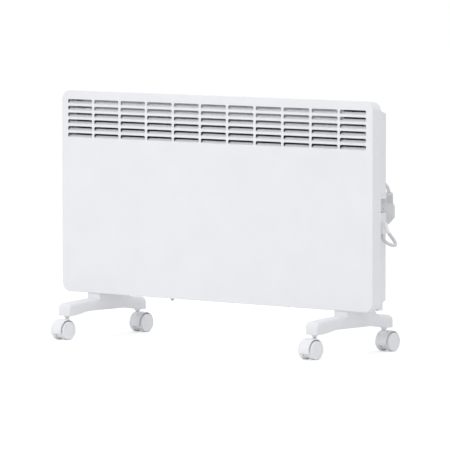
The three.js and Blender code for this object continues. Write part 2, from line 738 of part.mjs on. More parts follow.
// Hood over both wheels with a web between them. Its stem axis is at Y 0, the axle at Y -trail.
function castorHood() {
  const outer = hoodTop - axleZ;
  const inner = WHEEL_RADIUS + HOOD_CLEARANCE;
  const lip = (HOOD_LIP_ANGLE * Math.PI) / 180;
  const arc = (radius, from, to) => {
    const points = [];
    const steps = 10;
    for (let i = 0; i <= steps; i += 1) {
      const angle = from + ((to - from) * i) / steps;
      points.push([radius * Math.cos(angle), radius * Math.sin(angle)]);
    }
    return points;
  };
  const shellOutline = [...arc(outer, -lip, Math.PI + lip), ...arc(inner, Math.PI + lip, -lip)];
  const shell = prismX(shellOutline, -HOOD_WIDTH / 2, HOOD_WIDTH / 2);
  const webOutline = [
    ...arc(outer - 0.5, 0, Math.PI), ...arc(HOOD_WEB_RADIUS, Math.PI * 1.04, Math.PI * 1.96),
  ];
  const web = prismX(webOutline, -webHalf, webHalf);
  const hood = join(shell, web).translate(0, -CASTOR_TRAIL, axleZ);
  const boss = rodZ(STEM_BOSS_RADIUS, axleZ - 4, hoodTop - 0.4);
  const bossCore = box(-webHalf, webHalf, -STEM_BOSS_RADIUS, STEM_BOSS_RADIUS, axleZ - 5, axleZ + 30);
  const trimmed = toGeometry(toSolid(boss).intersect(toSolid(bossCore)));
  const axleBore = rodX(AXLE_RADIUS + BORE_CLEARANCE, -20, 20, 14).translate(0, -CASTOR_TRAIL, axleZ);
  const stemBore = rodZ(STEM_RADIUS + GAP, axleZ - 2 - GAP, axleZ + 40);
  return cut(join(hood, trimmed), axleBore, stemBore);
}

function castorAxle() {
  const reach = CASTOR_WIDTH / 2 - 3;
  return rodX(AXLE_RADIUS, -reach, reach, 14).translate(0, -CASTOR_TRAIL, axleZ);
}

// A wheel with a closed outer face and a blind bore for the axle. side is +1 or -1 in X.
function castorWheel(side) {
  const outer = CASTOR_WIDTH / 2;
  const inner = outer - WHEEL_WIDTH;
  const bore = AXLE_RADIUS + BORE_CLEARANCE;
  const boreEnd = outer - 3 + BORE_CLEARANCE;
  const profile = [
    new THREE.Vector2(0, boreEnd),
    new THREE.Vector2(bore, boreEnd),
    new THREE.Vector2(bore, inner),
    new THREE.Vector2(WHEEL_RADIUS - WHEEL_BEVEL / 2, inner),
    new THREE.Vector2(WHEEL_RADIUS, inner + WHEEL_BEVEL / 2),
    new THREE.Vector2(WHEEL_RADIUS, outer - WHEEL_BEVEL),
    new THREE.Vector2(WHEEL_RADIUS - WHEEL_BEVEL, outer - 0.4),
    new THREE.Vector2(WHEEL_RADIUS - WHEEL_BEVEL - 1, outer),
    new THREE.Vector2(0, outer),
  ];
  const turned = outward(new THREE.LatheGeometry(profile, WHEEL_SIDES));
  turned.rotateY(Math.PI / WHEEL_SIDES); // a flat between two corners meets the floor
  turned.rotateZ((-side * Math.PI) / 2);
  return turned.translate(0, -CASTOR_TRAIL, axleZ);
}

// Fits one castor under a foot; facing is -1 where it trails to the front and 1 to the back.
function addCastor(label, x, facing) {
  const castor = new THREE.Group();
  castor.position.set(x, (facing * castorSpacing) / 2, 0);
  castor.rotation.z = facing > 0 ? Math.PI : 0;
  heater.add(castor);
  piece(`castor_stem_${label}`, castorStem(), zincSteel, castor);
  piece(`castor_hood_${label}`, castorHood(), castorPlastic, castor);
  piece(`castor_axle_${label}`, castorAxle(), zincSteel, castor);
  piece(`wheel_right_${label}`, castorWheel(facing > 0 ? -1 : 1), castorPlastic, castor);
  piece(`wheel_left_${label}`, castorWheel(facing > 0 ? 1 : -1), castorPlastic, castor);
}

// ---------------------------------------------------------------- control housing and switch

const pocketHalfY = ROCKER_WIDTH / 2 + GAP;
const pocketHalfZ = ROCKER_LENGTH / 2 + GAP;
const BAY_PROUD = 0.9; // the cord bay lies lower than the switch plate
const HOUSING_WALL = 1.2;
const SWITCH_FRONT = -6; // switch body's front, below the rocker

// Side frame: X out of the rear cover's side, Y along it.
function controlHousing() {
  const half = HOUSING_LENGTH / 2;
  const plate = box(GAP, HOUSING_PROUD, -half, half, housingStepZ, housingTopZ);
  const bay = box(GAP, BAY_PROUD, -half, half, housingBottomZ, housingStepZ + 1);
  const inner = half - HOUSING_BORDER;
  const low = housingBottomZ + HOUSING_BORDER;
  const high = housingTopZ - HOUSING_BORDER;
  const body = box(-HOUSING_DEPTH, GAP + 0.4, -inner, inner, low, high);
  const cavity = box(
    -HOUSING_DEPTH - 1, -HOUSING_WALL, -inner + HOUSING_WALL, inner - HOUSING_WALL,
    low + HOUSING_WALL, high - HOUSING_WALL,
  );
  const pocket = box(
    -HOUSING_WALL - 1, HOUSING_PROUD + 1, rockerY - pocketHalfY, rockerY + pocketHalfY,
    rockerZ - pocketHalfZ, rockerZ + pocketHalfZ,
  );
  return cut(join(plate, bay, body), cavity, pocket, inSideFrame(cordChannel()));
}

// Switch body behind the rocker, a tight fit in the housing's pocket.
function switchBody() {
  const body = box(
    SWITCH_FRONT - SWITCH_DEPTH, SWITCH_FRONT, rockerY - ROCKER_WIDTH / 2,
    rockerY + ROCKER_WIDTH / 2 - 2, rockerZ - ROCKER_LENGTH / 2, rockerZ + ROCKER_LENGTH / 2,
  );
  const ears = [-1, 1].map((side) =>
    box(
      SWITCH_FRONT - 1, -HOUSING_WALL - GAP, rockerY - ROCKER_WIDTH / 2,
      rockerY + ROCKER_WIDTH / 2 - 2, rockerZ + side * (ROCKER_LENGTH / 2 + 1.5) - 1.5,
      rockerZ + side * (ROCKER_LENGTH / 2 + 1.5) + 1.5,
    ),
  );
  return join(body, ...ears);
}

const ROCKER_RIM = 2.6; // the rocker's ends above its pivot
const ROCKER_DIP = 1; // the middle of its face above the pivot
const ROCKER_BELLY = 4.5;

// Rocker with a shallow V face, tilted so that its lower half stands out.
function rocker() {
  const half = ROCKER_LENGTH / 2 - 0.5;
  const outline = [
    [ROCKER_DIP, 0],
    [ROCKER_RIM, half],
    [0, half],
    [-ROCKER_BELLY * 0.8, half * 0.55],
    [-ROCKER_BELLY, 0],
    [-ROCKER_BELLY * 0.8, -half * 0.55],
    [0, -half],
    [ROCKER_RIM, -half],
  ];
  const width = ROCKER_WIDTH / 2;
  return prismY(outline, -width, width);
}

// ---------------------------------------------------------------- thermostat

const THERMOSTAT_DEPTH = 24;
const THERMOSTAT_X = 36;
const THERMOSTAT_Y = 26;
const SHAFT_SOCKET = 5;

function thermostatBody() {
  const top = -SHEET - GAP;
  const body = box(
    -THERMOSTAT_X / 2, THERMOSTAT_X / 2, -THERMOSTAT_Y / 2, THERMOSTAT_Y / 2, top - THERMOSTAT_DEPTH, top,
  );
  return cut(body, rodZ(SHAFT_RADIUS + BORE_CLEARANCE, top - SHAFT_SOCKET, top + 1));
}

// Knob with a pointer rib, on its shaft. Its axis is the top frame's Z.
function thermostatKnob() {
  const cap = latheZ(
    [
      [0, GAP],
      [KNOB_RADIUS, GAP],
      [KNOB_RADIUS, 2],
      [KNOB_RADIUS - 1.2, KNOB_HEIGHT - 1.5],
      [KNOB_RADIUS - 2.6, KNOB_HEIGHT],
      [0, KNOB_HEIGHT],
    ],
    28,
  );
  const rib = box(-1.2, 1.2, KNOB_RADIUS * 0.3, KNOB_RADIUS - 2.8, KNOB_HEIGHT - 0.5, KNOB_HEIGHT + 0.8);
  const shaft = rodZ(SHAFT_RADIUS, -SHEET - SHAFT_SOCKET + GAP, GAP + 1);
  return join(cap, rib, shaft);
}

// ---------------------------------------------------------------- heating parts

const DUCT_LEFT_INSET = 35; // casing side to the left duct wall
const DUCT_RIGHT_INSET = 87; // wider, for the controls
const DUCT_SHEET = 1;
const ductLeft = DUCT_LEFT_INSET - casingHalfX;
const ductRight = casingHalfX - DUCT_RIGHT_INSET;
const ductFront = BLADE_DEPTH + 1.5;
const ductBack = BODY_DEPTH - SHEET - 5;
const ELEMENT_RISE = 93; // casing underside to the element's middle
const ELEMENT_HEIGHT = 56;
const ELEMENT_DEPTH = 34;
const ELEMENT_FINS = 15;
const ELEMENT_FIN = 3;
const ELEMENT_CORE_RADIUS = 6;
const BRACKET_STANDOFF = 8; // duct wall to the element bracket's face
const BRACKET_SHEET = 2;
const BRACKET_HALF_HEIGHT = 30;

const elementZ = casingBottom + ELEMENT_RISE;
const elementY = behind((CASING_DEPTH + BODY_DEPTH) / 2 - 10);
const elementLeft = ductLeft + DUCT_SHEET + BRACKET_STANDOFF + BRACKET_SHEET + 2;
const elementRight = ductRight - BRACKET_STANDOFF - BRACKET_SHEET - 2;

function ductWall(x) {
  const low = casingBottom + TRAY_BOTTOM_INSET + TRAY_BOTTOM_DRAFT + 14;
  const outline = [
    [behind(ductFront), low],
    [behind(ductBack), low],
    [behind(ductBack), trayTopZ(ductBack) - SHEET - 2],
    [behind(ductFront), casingTop - SHEET - 2],
  ].map(([y, z]) => [y, Math.min(z, trayTopZ(CASING_DEPTH) - SHEET - 2)]);
  return prismX(outline, x, x + DUCT_SHEET);
}

// Slanted sheet that turns the warm air forward through the louvres.
function airDeflector() {
  const low = casingTop - LOUVRE_TOP_MARGIN - LOUVRE_ROWS * LOUVRE_PITCH_Z - 6;
  const high = trayTopZ(CASING_DEPTH) - SHEET - 4;
  const back = behind(ductBack - 1);
  const front = behind(ductFront + 8);
  const outline = [
    [back, low], [back, low + 1.2], [front, high + 1.2], [front, high],
  ];
  return prismX(outline, ductLeft + DUCT_SHEET + GAP, ductRight - GAP);
}

// Finned aluminium element: a comb outline with the fins above and below its core.
function heatingElement() {
  const pitch = (elementRight - elementLeft) / ELEMENT_FINS;
  const root = ELEMENT_CORE_RADIUS + 3;
  const tip = ELEMENT_HEIGHT / 2;
  const above = [];
  for (let i = 0; i < ELEMENT_FINS; i += 1) {
    const x = elementLeft + (i + 0.5) * pitch;
    above.push([x - ELEMENT_FIN / 2, root], [x - ELEMENT_FIN / 2, tip]);
    above.push([x + ELEMENT_FIN / 2, tip], [x + ELEMENT_FIN / 2, root]);
  }
  const below = above.map(([x, z]) => [x, -z]).reverse();
  const outline = [...above, ...below];
  const comb = prismY(outline, elementY - ELEMENT_DEPTH / 2, elementY + ELEMENT_DEPTH / 2);
  const reach = BRACKET_SHEET + 4;
  const core = rodX(ELEMENT_CORE_RADIUS, elementLeft - reach, elementRight + reach, 12);
  return join(comb, core.translate(0, elementY, 0)).translate(0, 0, elementZ);
}

// Bracket that holds one end of the element on its duct wall. side is +1 at the right end.
function elementBracket(side) {
  const wall = side > 0 ? ductRight - GAP : ductLeft + DUCT_SHEET + GAP;
  const face = wall - side * BRACKET_STANDOFF;
  const slab = (a, b, y0, y1, z0, z1) => box(Math.min(a, b), Math.max(a, b), y0, y1, z0, z1);
  const y0 = elementY - ELEMENT_DEPTH / 2;
  const y1 = elementY + ELEMENT_DEPTH / 2;
  const high = BRACKET_HALF_HEIGHT;
  const plate = slab(face, face - side * BRACKET_SHEET, y0, y1, -high, high);
  const arm = slab(face - side, wall, y0, y1, high - BRACKET_SHEET, high);
  const lowArm = slab(face - side, wall, y0, y1, -high, BRACKET_SHEET - high);
  const hole = rodX(ELEMENT_CORE_RADIUS + GAP, face - 10, face + 10, 12).translate(0, elementY, 0);
  return cut(join(plate, arm, lowArm), hole).translate(0, 0, elementZ);
}

const CUTOUT_RADIUS = 9;
const CUTOUT_RISE = 150; // above the casing's underside

function thermalCutout() {
  const disc = rodX(CUTOUT_RADIUS, ductRight - GAP - 7, ductRight - GAP, 16);
  const button = rodX(CUTOUT_RADIUS * 0.4, ductRight - GAP - 9, ductRight - GAP - 6, 12);
  return join(disc, button).translate(0, elementY, casingBottom + CUTOUT_RISE);
}

const TERMINAL_RISE = 122; // above the casing's underside
const TERMINAL_DEPTH = 18;
const TERMINAL_LENGTH = 34;
const TERMINAL_HEIGHT = 16;
const WELL_DEPTH = 5;
const WELL_SPACING = 11;
const WIRE_RADIUS = 1.4;

const terminalX = ductRight + DUCT_SHEET + GAP;
const terminalTopZ = casingBottom + TERMINAL_RISE + TERMINAL_HEIGHT;
const wellX = terminalX + TERMINAL_DEPTH / 2;

function terminalBlock() {
  const body = box(
    terminalX, terminalX + TERMINAL_DEPTH, elementY - TERMINAL_LENGTH / 2, elementY + TERMINAL_LENGTH / 2,
    terminalTopZ - TERMINAL_HEIGHT, terminalTopZ,
  );
  const wells = [-0.5, 0.5].map((share) =>
    rodZ(WIRE_RADIUS * 2, terminalTopZ - WELL_DEPTH, terminalTopZ + 1, 8).translate(
      wellX, elementY + share * WELL_SPACING, 0,
    ),
  );
  return cut(body, ...wells);
}

// Insulated wires out of the terminal block's wells.
function wireLive() {
  const y = elementY + WELL_SPACING / 2;
  const points = [
    [wellX, y, terminalTopZ - WELL_DEPTH + GAP], [wellX, y, terminalTopZ + 40],
    [wellX + 2, elementY + 2, terminalTopZ + 120], [knobX - 4, elementY - 3, casingTop - 70],
  ];
  return tube(points, WIRE_RADIUS, 6, 12);
}

function wireNeutral() {
  const y = elementY - WELL_SPACING / 2;
  const alongWall = terminalX + WIRE_RADIUS + 0.8;
  const points = [
    [wellX, y, terminalTopZ - WELL_DEPTH + GAP], [wellX, y, terminalTopZ + 10],
    [wellX - 2, y - 3, terminalTopZ + 22], [alongWall, y - 7, terminalTopZ + 36],
    [alongWall, y - 7, terminalTopZ + 52],
  ];
  return tube(points, WIRE_RADIUS, 6, 12);
}

// ---------------------------------------------------------------- cord and what carries it

const CORD_SIDES = 8;
const GUIDE_OUT = 11.2; // outer face of the guide block off the rear cover's side
const GUIDE_FRONT = -8.5; // along the side frame's Y
const GUIDE_BACK = 6.5;
const GUIDE_ABOVE_STEP = 1; // guide's top above the bay
const GUIDE_CHAMFER = 2.5;

const RELIEF_ROOT_RADIUS = 4.9;
const RELIEF_TIP_RADIUS = 4.3;
const RELIEF_HEAD = 0.14; // share of the strain relief's length taken by its domed head
const RELIEF_STRAIGHT = 3; // its end in line with the cord

const HANK_INSET = 164; // casing side to the hank's middle
const HANK_RISE = 65; // switch's middle to the hank's middle
const HANK_RUN = 114; // between the centres of its two folds
const HANK_LOOP_COUNT = 3;
const HANK_STEP = 8.5; // one loop to the next beside it
const HANK_LAYER_STEP = 8.5; // first layer to the second
const HANK_FOLD_RADIUS = 24; // innermost loop
const HANK_WAIST = 7; // how far the runs are drawn in at the tie
const HANK_LEAD = 8; // straight ends
const HANK_STANDOFF = 6; // rear cover to the first layer's middle
const HANK_SIDES = 6;
const HANK_STEP_COUNT = 24; // steps in each loop
const TURN_BACK_COUNT = 1.625; // loops after which the spiral turns outward again

const hankX = casingHalfX - HANK_INSET;
const hankZ = rockerZ + HANK_RISE;
const hankFirstY = backY + HANK_STANDOFF;
const hankLowZ = hankZ - HANK_RUN / 2;
const hankHighZ = hankZ + HANK_RUN / 2;
const hankRadius = (loops) => HANK_FOLD_RADIUS + HANK_STEP * Math.abs(loops - TURN_BACK_COUNT);
const hankStart = [hankX + hankRadius(0), hankFirstY, hankLowZ - HANK_LEAD];
const hankEnd = [hankX + hankRadius(HANK_LOOP_COUNT), hankFirstY + HANK_LAYER_STEP, hankLowZ + HANK_LEAD];

// Stretch of the cord inside the guide block, the housing and the slot in the rear cover.
const ledRoute = routeFrom(midDepth, [
  [16.9, -0.2, -58], [19.1, 0.7, -46.5], [25.4, 3.2, -36.8], [34.8, 6.8, -30.3],
  [46, 11.1, -28], [67, 18.8, -30.7], [81, 24.2, -34.8], [95, 29, -38.1],
]);

function cordChannel() {
  const points = [
    ...routeFrom(midDepth, [[16.8, -0.2, -72]]), ...ledRoute, ...routeFrom(midDepth, [[107.2, 31.4, -36]]),
  ];
  return tube(points, CHANNEL_RADIUS, 10, 32);
}

function guideOutline(extra) {
  const inner = BAY_PROUD + GAP - extra;
  const out = GUIDE_OUT + extra;
  const front = GUIDE_FRONT - extra;
  const back = GUIDE_BACK + extra;
  const c = GUIDE_CHAMFER;
  return [
    [inner, front], [out - c, front], [out, front + c], [out, back - c], [out - c, back], [inner, back],
  ];
}

// Outlet block on the housing. The cord leaves it along its outer face and goes in from below.
function cordGuide() {
  const outline = guideOutline(0);
  const low = prismZ(outline, housingBottomZ, housingStepZ - GAP);
  const highOutline = outline.map(([x, y]) => [Math.max(x, HOUSING_PROUD + GAP), y]);
  const high = prismZ(highOutline, housingStepZ - 1, housingStepZ + GUIDE_ABOVE_STEP);
  return cut(join(low, high), inSideFrame(cordChannel()));
}

// Rings across a smooth curve; radiusAt gives the radius at each share of its length.
function taperedTube(points, radiusAt, sides, steps) {
  const curve = new THREE.CatmullRomCurve3(points.map((p) => new THREE.Vector3(...p)));
  const frames = curve.computeFrenetFrames(steps);
  const rings = [];
  for (let i = 0; i <= steps; i += 1) {
    const middle = curve.getPointAt(i / steps);
    const radius = radiusAt(i / steps);
    const ring = [];
    for (let side = 0; side < sides; side += 1) {
      const angle = (side * 2 * Math.PI) / sides;
      const across = frames.normals[i].clone().multiplyScalar(radius * Math.cos(angle));
      ring.push(middle.clone().add(across).addScaledVector(frames.binormals[i], radius * Math.sin(angle)));
    }
    rings.push(ring);
  }
  return loft(rings);
}

const ahead = (point, heading, distance) => point.map((value, i) => value + heading[i] * distance);
const STRAIGHT = 7.6; // each end of a cord runs straight this far
const [reliefTip, afterTip] = besideCover([[12.8, 8.3, -55.4], [11.3, 15, -58.3]]);
const tipHeading = new THREE.Vector3(...afterTip).sub(new THREE.Vector3(...reliefTip)).normalize().toArray();

// Sleeve with a domed head that lies on the guide's outer face and carries the cord round its corner.
function strainRelief() {
  const points = [
    ...besideCover([[12.3, -4.9, -34.6], [13, -4.4, -41], [14.1, -2.6, -46.9], [14.2, 1.9, -51.6]]),
    ahead(reliefTip, tipHeading, -RELIEF_STRAIGHT),
    reliefTip,
  ];
  const taper = RELIEF_ROOT_RADIUS - RELIEF_TIP_RADIUS;
  const radiusAt = (share) => {
    const head = 0.9 * Math.max(1 - share / RELIEF_HEAD, 0);
    return (RELIEF_ROOT_RADIUS - taper * share) * Math.sqrt(1 - head * head);
  };
  const guide = prismZ(guideOutline(GAP), housingBottomZ - GAP, housingStepZ + GUIDE_ABOVE_STEP + GAP);
  return cut(taperedTube(points, radiusAt, 12, 16), fromSideFrame(guide));
}

// From the strain relief's tip down, round in a small loop, up through the guide and to the hank.
const loopRoute = [
  ahead(reliefTip, tipHeading, GAP),
  ahead(reliefTip, tipHeading, STRAIGHT),
  ...besideCover([
    [11.8, 20.1, -62.4], [13.7, 23.4, -66.6], [16.6, 24.9, -71], [20.1, 24.6, -75.1],
    [23.3, 22.4, -78.8], [25.9, 18.9, -81.6], [27.5, 14.4, -83.5], [27.9, 9.3, -84.4],
    [27, 4.3, -84.2], [24.8, -0.3, -83.1], [21.5, -3.8, -81.2], [17.6, -6, -78.7],
    [13.3, -6.6, -75.6], [9.5, -5.5, -71.8], [6.7, -3.3, -66.9],
  ]),
  ...ledRoute,
  ...routeFrom(BODY_DEPTH, [
    [107.2, HANK_STANDOFF, -36], [117.3, HANK_STANDOFF, -29.5], [123.9, HANK_STANDOFF, -19.7],
  ]),
  [hankStart[0], hankStart[1], hankStart[2] - STRAIGHT],
  [hankStart[0], hankStart[1], hankStart[2] - GAP],
];

// A point of the hank after so many loops: up the right run, over, down the left run, under.
function hankPoint(loops) {
  const part = loops - Math.floor(loops);
  const radius = hankRadius(loops);
  const layer = smooth((loops - TURN_BACK_COUNT + 0.125) * 4);
  const y = hankFirstY + HANK_LAYER_STEP * layer;
  const upRun = part < 0.25;
  if (upRun || (part >= 0.5 && part < 0.75)) {
    const along = (upRun ? part : part - 0.5) * 4;
    const drawn = radius - HANK_WAIST * Math.sin(Math.PI * along) ** 2;
    const z = hankZ + (upRun ? along - 0.5 : 0.5 - along) * HANK_RUN;
    return [hankX + (upRun ? drawn : -drawn), y, z];
  }
  const turned = (part < 0.5 ? part - 0.25 : part - 0.5) * 4 * Math.PI;
  const middle = part < 0.5 ? hankHighZ : hankLowZ;
  return [hankX + radius * Math.cos(turned), y, middle + radius * Math.sin(turned)];
}

const hankRoute = [hankStart];
for (let i = 0; i <= HANK_LOOP_COUNT * HANK_STEP_COUNT; i += 1) {
  hankRoute.push(hankPoint(i / HANK_STEP_COUNT));
}
hankRoute.push(hankEnd);

// From the hank through the clip to the plug.
const PLUG_INSET = 47; // casing side to the middle of the plug's pin face
const PLUG_STANDOFF = 22.7; // rear cover to the same
const PLUG_ANGLE = 40.74; // degrees that the plug hangs turned about Z
const PLUG_BELOW = 25; // switch's middle to the pins
const PLUG_NECK = 50.5; // pins to the plug's top
const PLUG_THICKNESS = 19;
const PLUG_GRIP_THICKNESS = 14.9;
const PLUG_RADIUS = 18.5;
const PLUG_CORD_OFFSET = 6.6; // cord's middle behind the pin face
const PIN_RADIUS = 2.4;
const PIN_LENGTH = 19;
const PIN_SPACING = 19;
const PIN_ROOT = 5;
const CLIP_INSET = 85; // casing side to the clip's middle
const CLIP_RISE = 56.2; // switch's middle to the cord in the clip
const CLIP_STANDOFF = 24; // rear cover to the same
const CLIP_WIDTH = 6;
const CLIP_BORE_RADIUS = 4.5;
const CLIP_WALL = 1.8;
const CLIP_MOUTH = 2.6; // slit that the cord is pressed in through

const plugFrame = new THREE.Group();
plugFrame.position.set(casingHalfX - PLUG_INSET, backY + PLUG_STANDOFF, rockerZ - PLUG_BELOW);
plugFrame.rotation.z = (PLUG_ANGLE * Math.PI) / 180;
heater.add(plugFrame);
plugFrame.updateMatrixWorld(true);
const LEAD_TILT = (20 * Math.PI) / 180; // the cord leans this much where it enters the plug
const tiltRoom = CORD_RADIUS * Math.sin(LEAD_TILT);
const plugEntry = new THREE.Vector3(PLUG_CORD_OFFSET, 0, PLUG_NECK + GAP + tiltRoom).applyMatrix4(
  plugFrame.matrixWorld,
);

const leadRoute = [
  [hankEnd[0], hankEnd[1], hankEnd[2] + GAP],
  [hankEnd[0], hankEnd[1], hankEnd[2] + STRAIGHT],
  ...routeFrom(BODY_DEPTH, [
    [126, 15.7, 35], [120.5, 17.1, 44.5], [112, 19.2, 51.6], [101, 21.9, 55.4], [93, 23.5, CLIP_RISE],
    [88, CLIP_STANDOFF, CLIP_RISE], [82, CLIP_STANDOFF, CLIP_RISE], [73.6, 24.6, 55.1], [65, 25.4, 51.6],
    [57, 26.2, 46.7], [50.5, 26.8, 40.7],
  ]),
  ahead(plugEntry.toArray(), [-Math.sin(LEAD_TILT), 0, Math.cos(LEAD_TILT)], STRAIGHT),
  [plugEntry.x, plugEntry.y, plugEntry.z],
];

function cordClip() {
  const half = CLIP_WIDTH / 2;
  const rear = -CLIP_STANDOFF; // the rear cover, seen from the cord's middle
  const ring = rodX(CLIP_BORE_RADIUS + CLIP_WALL, -half, half, 18);
  const bore = rodX(CLIP_BORE_RADIUS, -half - 1, half + 1, 18);
  const mouth = box(-half - 1, half + 1, 0, CLIP_BORE_RADIUS + CLIP_WALL + 2, 0, CLIP_MOUTH);
  const arm = box(-half, half, rear + 1, -CLIP_BORE_RADIUS - 0.6, -3, 3);
  const base = box(-half - 4, half + 4, rear + GAP, rear + GAP + 2, -9, 9);
  const clip = cut(join(ring, arm, base), bore, mouth);
  return clip.translate(casingHalfX - CLIP_INSET, backY + CLIP_STANDOFF, rockerZ + CLIP_RISE);
}

const HOOK_WIDTH = 16;
const HOOK_BASE = 24;
const HOOK_BASE_HEIGHT = 26.4;
const HOOK_CLEARANCE = 0.8; // arm's top to the innermost loop
const HOOK_ARM = 5;
const HOOK_LIP = 12.6; // lip above the arm's top
const HOOK_WALL = 2.6;
const HOOK_BRACE = 14; // brace under the arm

// Hook on the rear cover that the hank hangs on.
function cordHook() {
  const top = hankHighZ + HANK_FOLD_RADIUS - CORD_RADIUS - HOOK_CLEARANCE;
  const under = top - HOOK_ARM;
  const front = backY + GAP;
  const lipY = hankFirstY + HANK_LAYER_STEP + CORD_RADIUS + 0.6;
  const base = box(
    hankX - HOOK_BASE / 2, hankX + HOOK_BASE / 2, front, front + 1.5, top - 1 - HOOK_BASE_HEIGHT, top - 1,
  );
  const profile = [
    [front, top], [front, under - HOOK_BRACE], [front + HOOK_WALL, under - HOOK_BRACE],
    [front + 9, under], [lipY + HOOK_WALL, under], [lipY + HOOK_WALL, top + HOOK_LIP],
    [lipY, top + HOOK_LIP], [lipY, top],
  ];
  return join(base, prismX(profile, hankX - HOOK_WIDTH / 2, hankX + HOOK_WIDTH / 2));
}

const TIE_CLEARANCE = 0.4;
const TIE_THICKNESS = 1.2;
const TIE_WIDTH = 14;
const TIE_CORNER = 3;

// Band round the hank's waist.
function hankTie() {
  const front = hankFirstY - CORD_RADIUS - 0.5;
  const back = hankFirstY + HANK_LAYER_STEP + CORD_RADIUS + 0.5;
  const outline = (more) => {
    const a = hankRadius(0) - HANK_WAIST + CORD_RADIUS + TIE_CLEARANCE + more;
    const c = TIE_CORNER;
    return [
      [hankX + a, front - more + c], [hankX + a, back + more - c], [hankX + a - c, back + more],
      [hankX - a + c, back + more], [hankX - a, back + more - c], [hankX - a, front - more + c],
      [hankX - a + c, front - more], [hankX + a - c, front - more],
    ];
  };
  const low = hankZ - TIE_WIDTH / 2;
  const high = hankZ + TIE_WIDTH / 2;
  return cut(prismZ(outline(TIE_THICKNESS), low, high), prismZ(outline(0), low - 1, high + 1));
}

// ---------------------------------------------------------------- plug

// Plug frame: X from the pin face to the plug's back, Z up from the pins. The cord enters from above.
function plugBody() {
  const low = -PLUG_RADIUS - 1;
  const face = [];
  for (let i = 0; i <= 16; i += 1) {
    const angle = Math.PI * (0.86 + (1.28 * i) / 16);
    face.push([PLUG_RADIUS * Math.cos(angle), PLUG_RADIUS * Math.sin(angle)]);
  }
  const flank = [[12.5, 19], [10, 29], [8.6, 41], [7.6, PLUG_NECK - 1.5], [6, PLUG_NECK]];
  const otherFlank = flank.map(([y, z]) => [-y, z]).reverse();
  const profile = [
    [0, low], [4.3, low], [PLUG_THICKNESS - 1.2, -2.9],
    [PLUG_THICKNESS, -1], [PLUG_THICKNESS, 21], [PLUG_THICKNESS - 1, 23.5], [PLUG_GRIP_THICKNESS, 28],
    [PLUG_GRIP_THICKNESS, PLUG_NECK - 3], [PLUG_GRIP_THICKNESS - 2, PLUG_NECK + 1], [0, PLUG_NECK + 1],
  ];
  const outline = toSolid(prismX([...face, ...flank, ...otherFlank], 0, PLUG_THICKNESS));
  const body = toGeometry(outline.intersect(toSolid(prismY(profile, -30, 30))));
  const bores = [-0.5, 0.5].map((share) =>
    rodX(PIN_RADIUS + GAP, -1, PIN_ROOT + GAP, 12).translate(0, share * PIN_SPACING, 0),
  );
  return cut(body, ...bores);
}

function plugPin(side) {
  const pin = rodX(PIN_RADIUS, 1 - PIN_LENGTH, PIN_ROOT, 12);
  const tip = rodX(PIN_RADIUS * 0.7, -PIN_LENGTH, 2 - PIN_LENGTH, 12);
  return join(pin, tip).translate(0, (side * PIN_SPACING) / 2, 0);
}

// ---------------------------------------------------------------- plates

const PLATE_INSET = 117; // casing side to the bare rating plate
const PLATE_RISE = 90;
const PLATE_LENGTH = 80;
const PLATE_HEIGHT = 45;
const PLATE_THICKNESS = 0.6;

function ratingPlate() {
  const left = PLATE_INSET - casingHalfX;
  const low = casingBottom + PLATE_RISE;
  const front = backY + GAP;
  return box(left, left + PLATE_LENGTH, front, front + PLATE_THICKNESS, low, low + PLATE_HEIGHT);
}

// ---------------------------------------------------------------- the whole heater

piece('front_casing', frontCasing(), casingPaint);
piece('rear_cover', rearCover(), trayPaint);
piece('inlet_grille', inletGrille(), trayPaint);
piece('cover_screw_left_low', coverScrew(coverScrewPlaces[0]), zincSteel);
piece('cover_screw_left_high', coverScrew(coverScrewPlaces[1]), zincSteel);
piece('cover_screw_right_low', coverScrew(coverScrewPlaces[2]), zincSteel);
piece('cover_screw_right_high', coverScrew(coverScrewPlaces[3]), zincSteel);
piece('lock_screw', lockScrew(), zincSteel);
piece('foot_left', foot(-1), footPlastic);
piece('foot_right', foot(1), footPlastic);
piece('foot_screw_left', footScrew(footScrewPlaces[0]), zincSteel);
piece('foot_screw_right', footScrew(footScrewPlaces[1]), zincSteel);
piece('base_rail', baseRail(), zincSteel);
addCastor('front_left', -footX, -1);
addCastor('rear_left', -footX, 1);
addCastor('front_right', footX, -1);
addCastor('rear_right', footX, 1);
piece('control_housing', controlHousing(), housingPlastic, sideFrame);
piece('switch_body', switchBody(), darkPlastic, sideFrame);
const rockerFrame = new THREE.Group();
rockerFrame.position.set(0, rockerY, rockerZ);
rockerFrame.rotation.y = (-ROCKER_TILT * Math.PI) / 180; // lower half out
sideFrame.add(rockerFrame);
piece('rocker', rocker(), rockerPlastic, rockerFrame);
piece('thermostat_body', thermostatBody(), darkPlastic, topFrame);
piece('thermostat_knob', thermostatKnob(), rockerPlastic, topFrame);
piece('duct_wall_left', ductWall(ductLeft), zincSteel);
piece('duct_wall_right', ductWall(ductRight), zincSteel);
piece('air_deflector', airDeflector(), zincSteel);
piece('heating_element', heatingElement(), aluminium);
piece('element_bracket_left', elementBracket(-1), zincSteel);
piece('element_bracket_right', elementBracket(1), zincSteel);
piece('thermal_cutout', thermalCutout(), darkPlastic);
piece('terminal_block', terminalBlock(), darkPlastic);
piece('wire_live', wireLive(), brownSheath);
piece('wire_neutral', wireNeutral(), blueSheath);
piece('cord_guide', cordGuide(), housingPlastic, sideFrame);
piece('strain_relief', strainRelief(), whiteRubber);
piece('cord_loop', tube(loopRoute, CORD_RADIUS, CORD_SIDES, 66), cordSheath);
piece('cord_hank', tube(hankRoute, CORD_RADIUS, HANK_SIDES, hankRoute.length - 2), cordSheath);
piece('cord_plug_lead', tube(leadRoute, CORD_RADIUS, CORD_SIDES, 32), cordSheath);
piece('cord_hook', cordHook(), housingPlastic);
piece('cord_clip', cordClip(), housingPlastic);
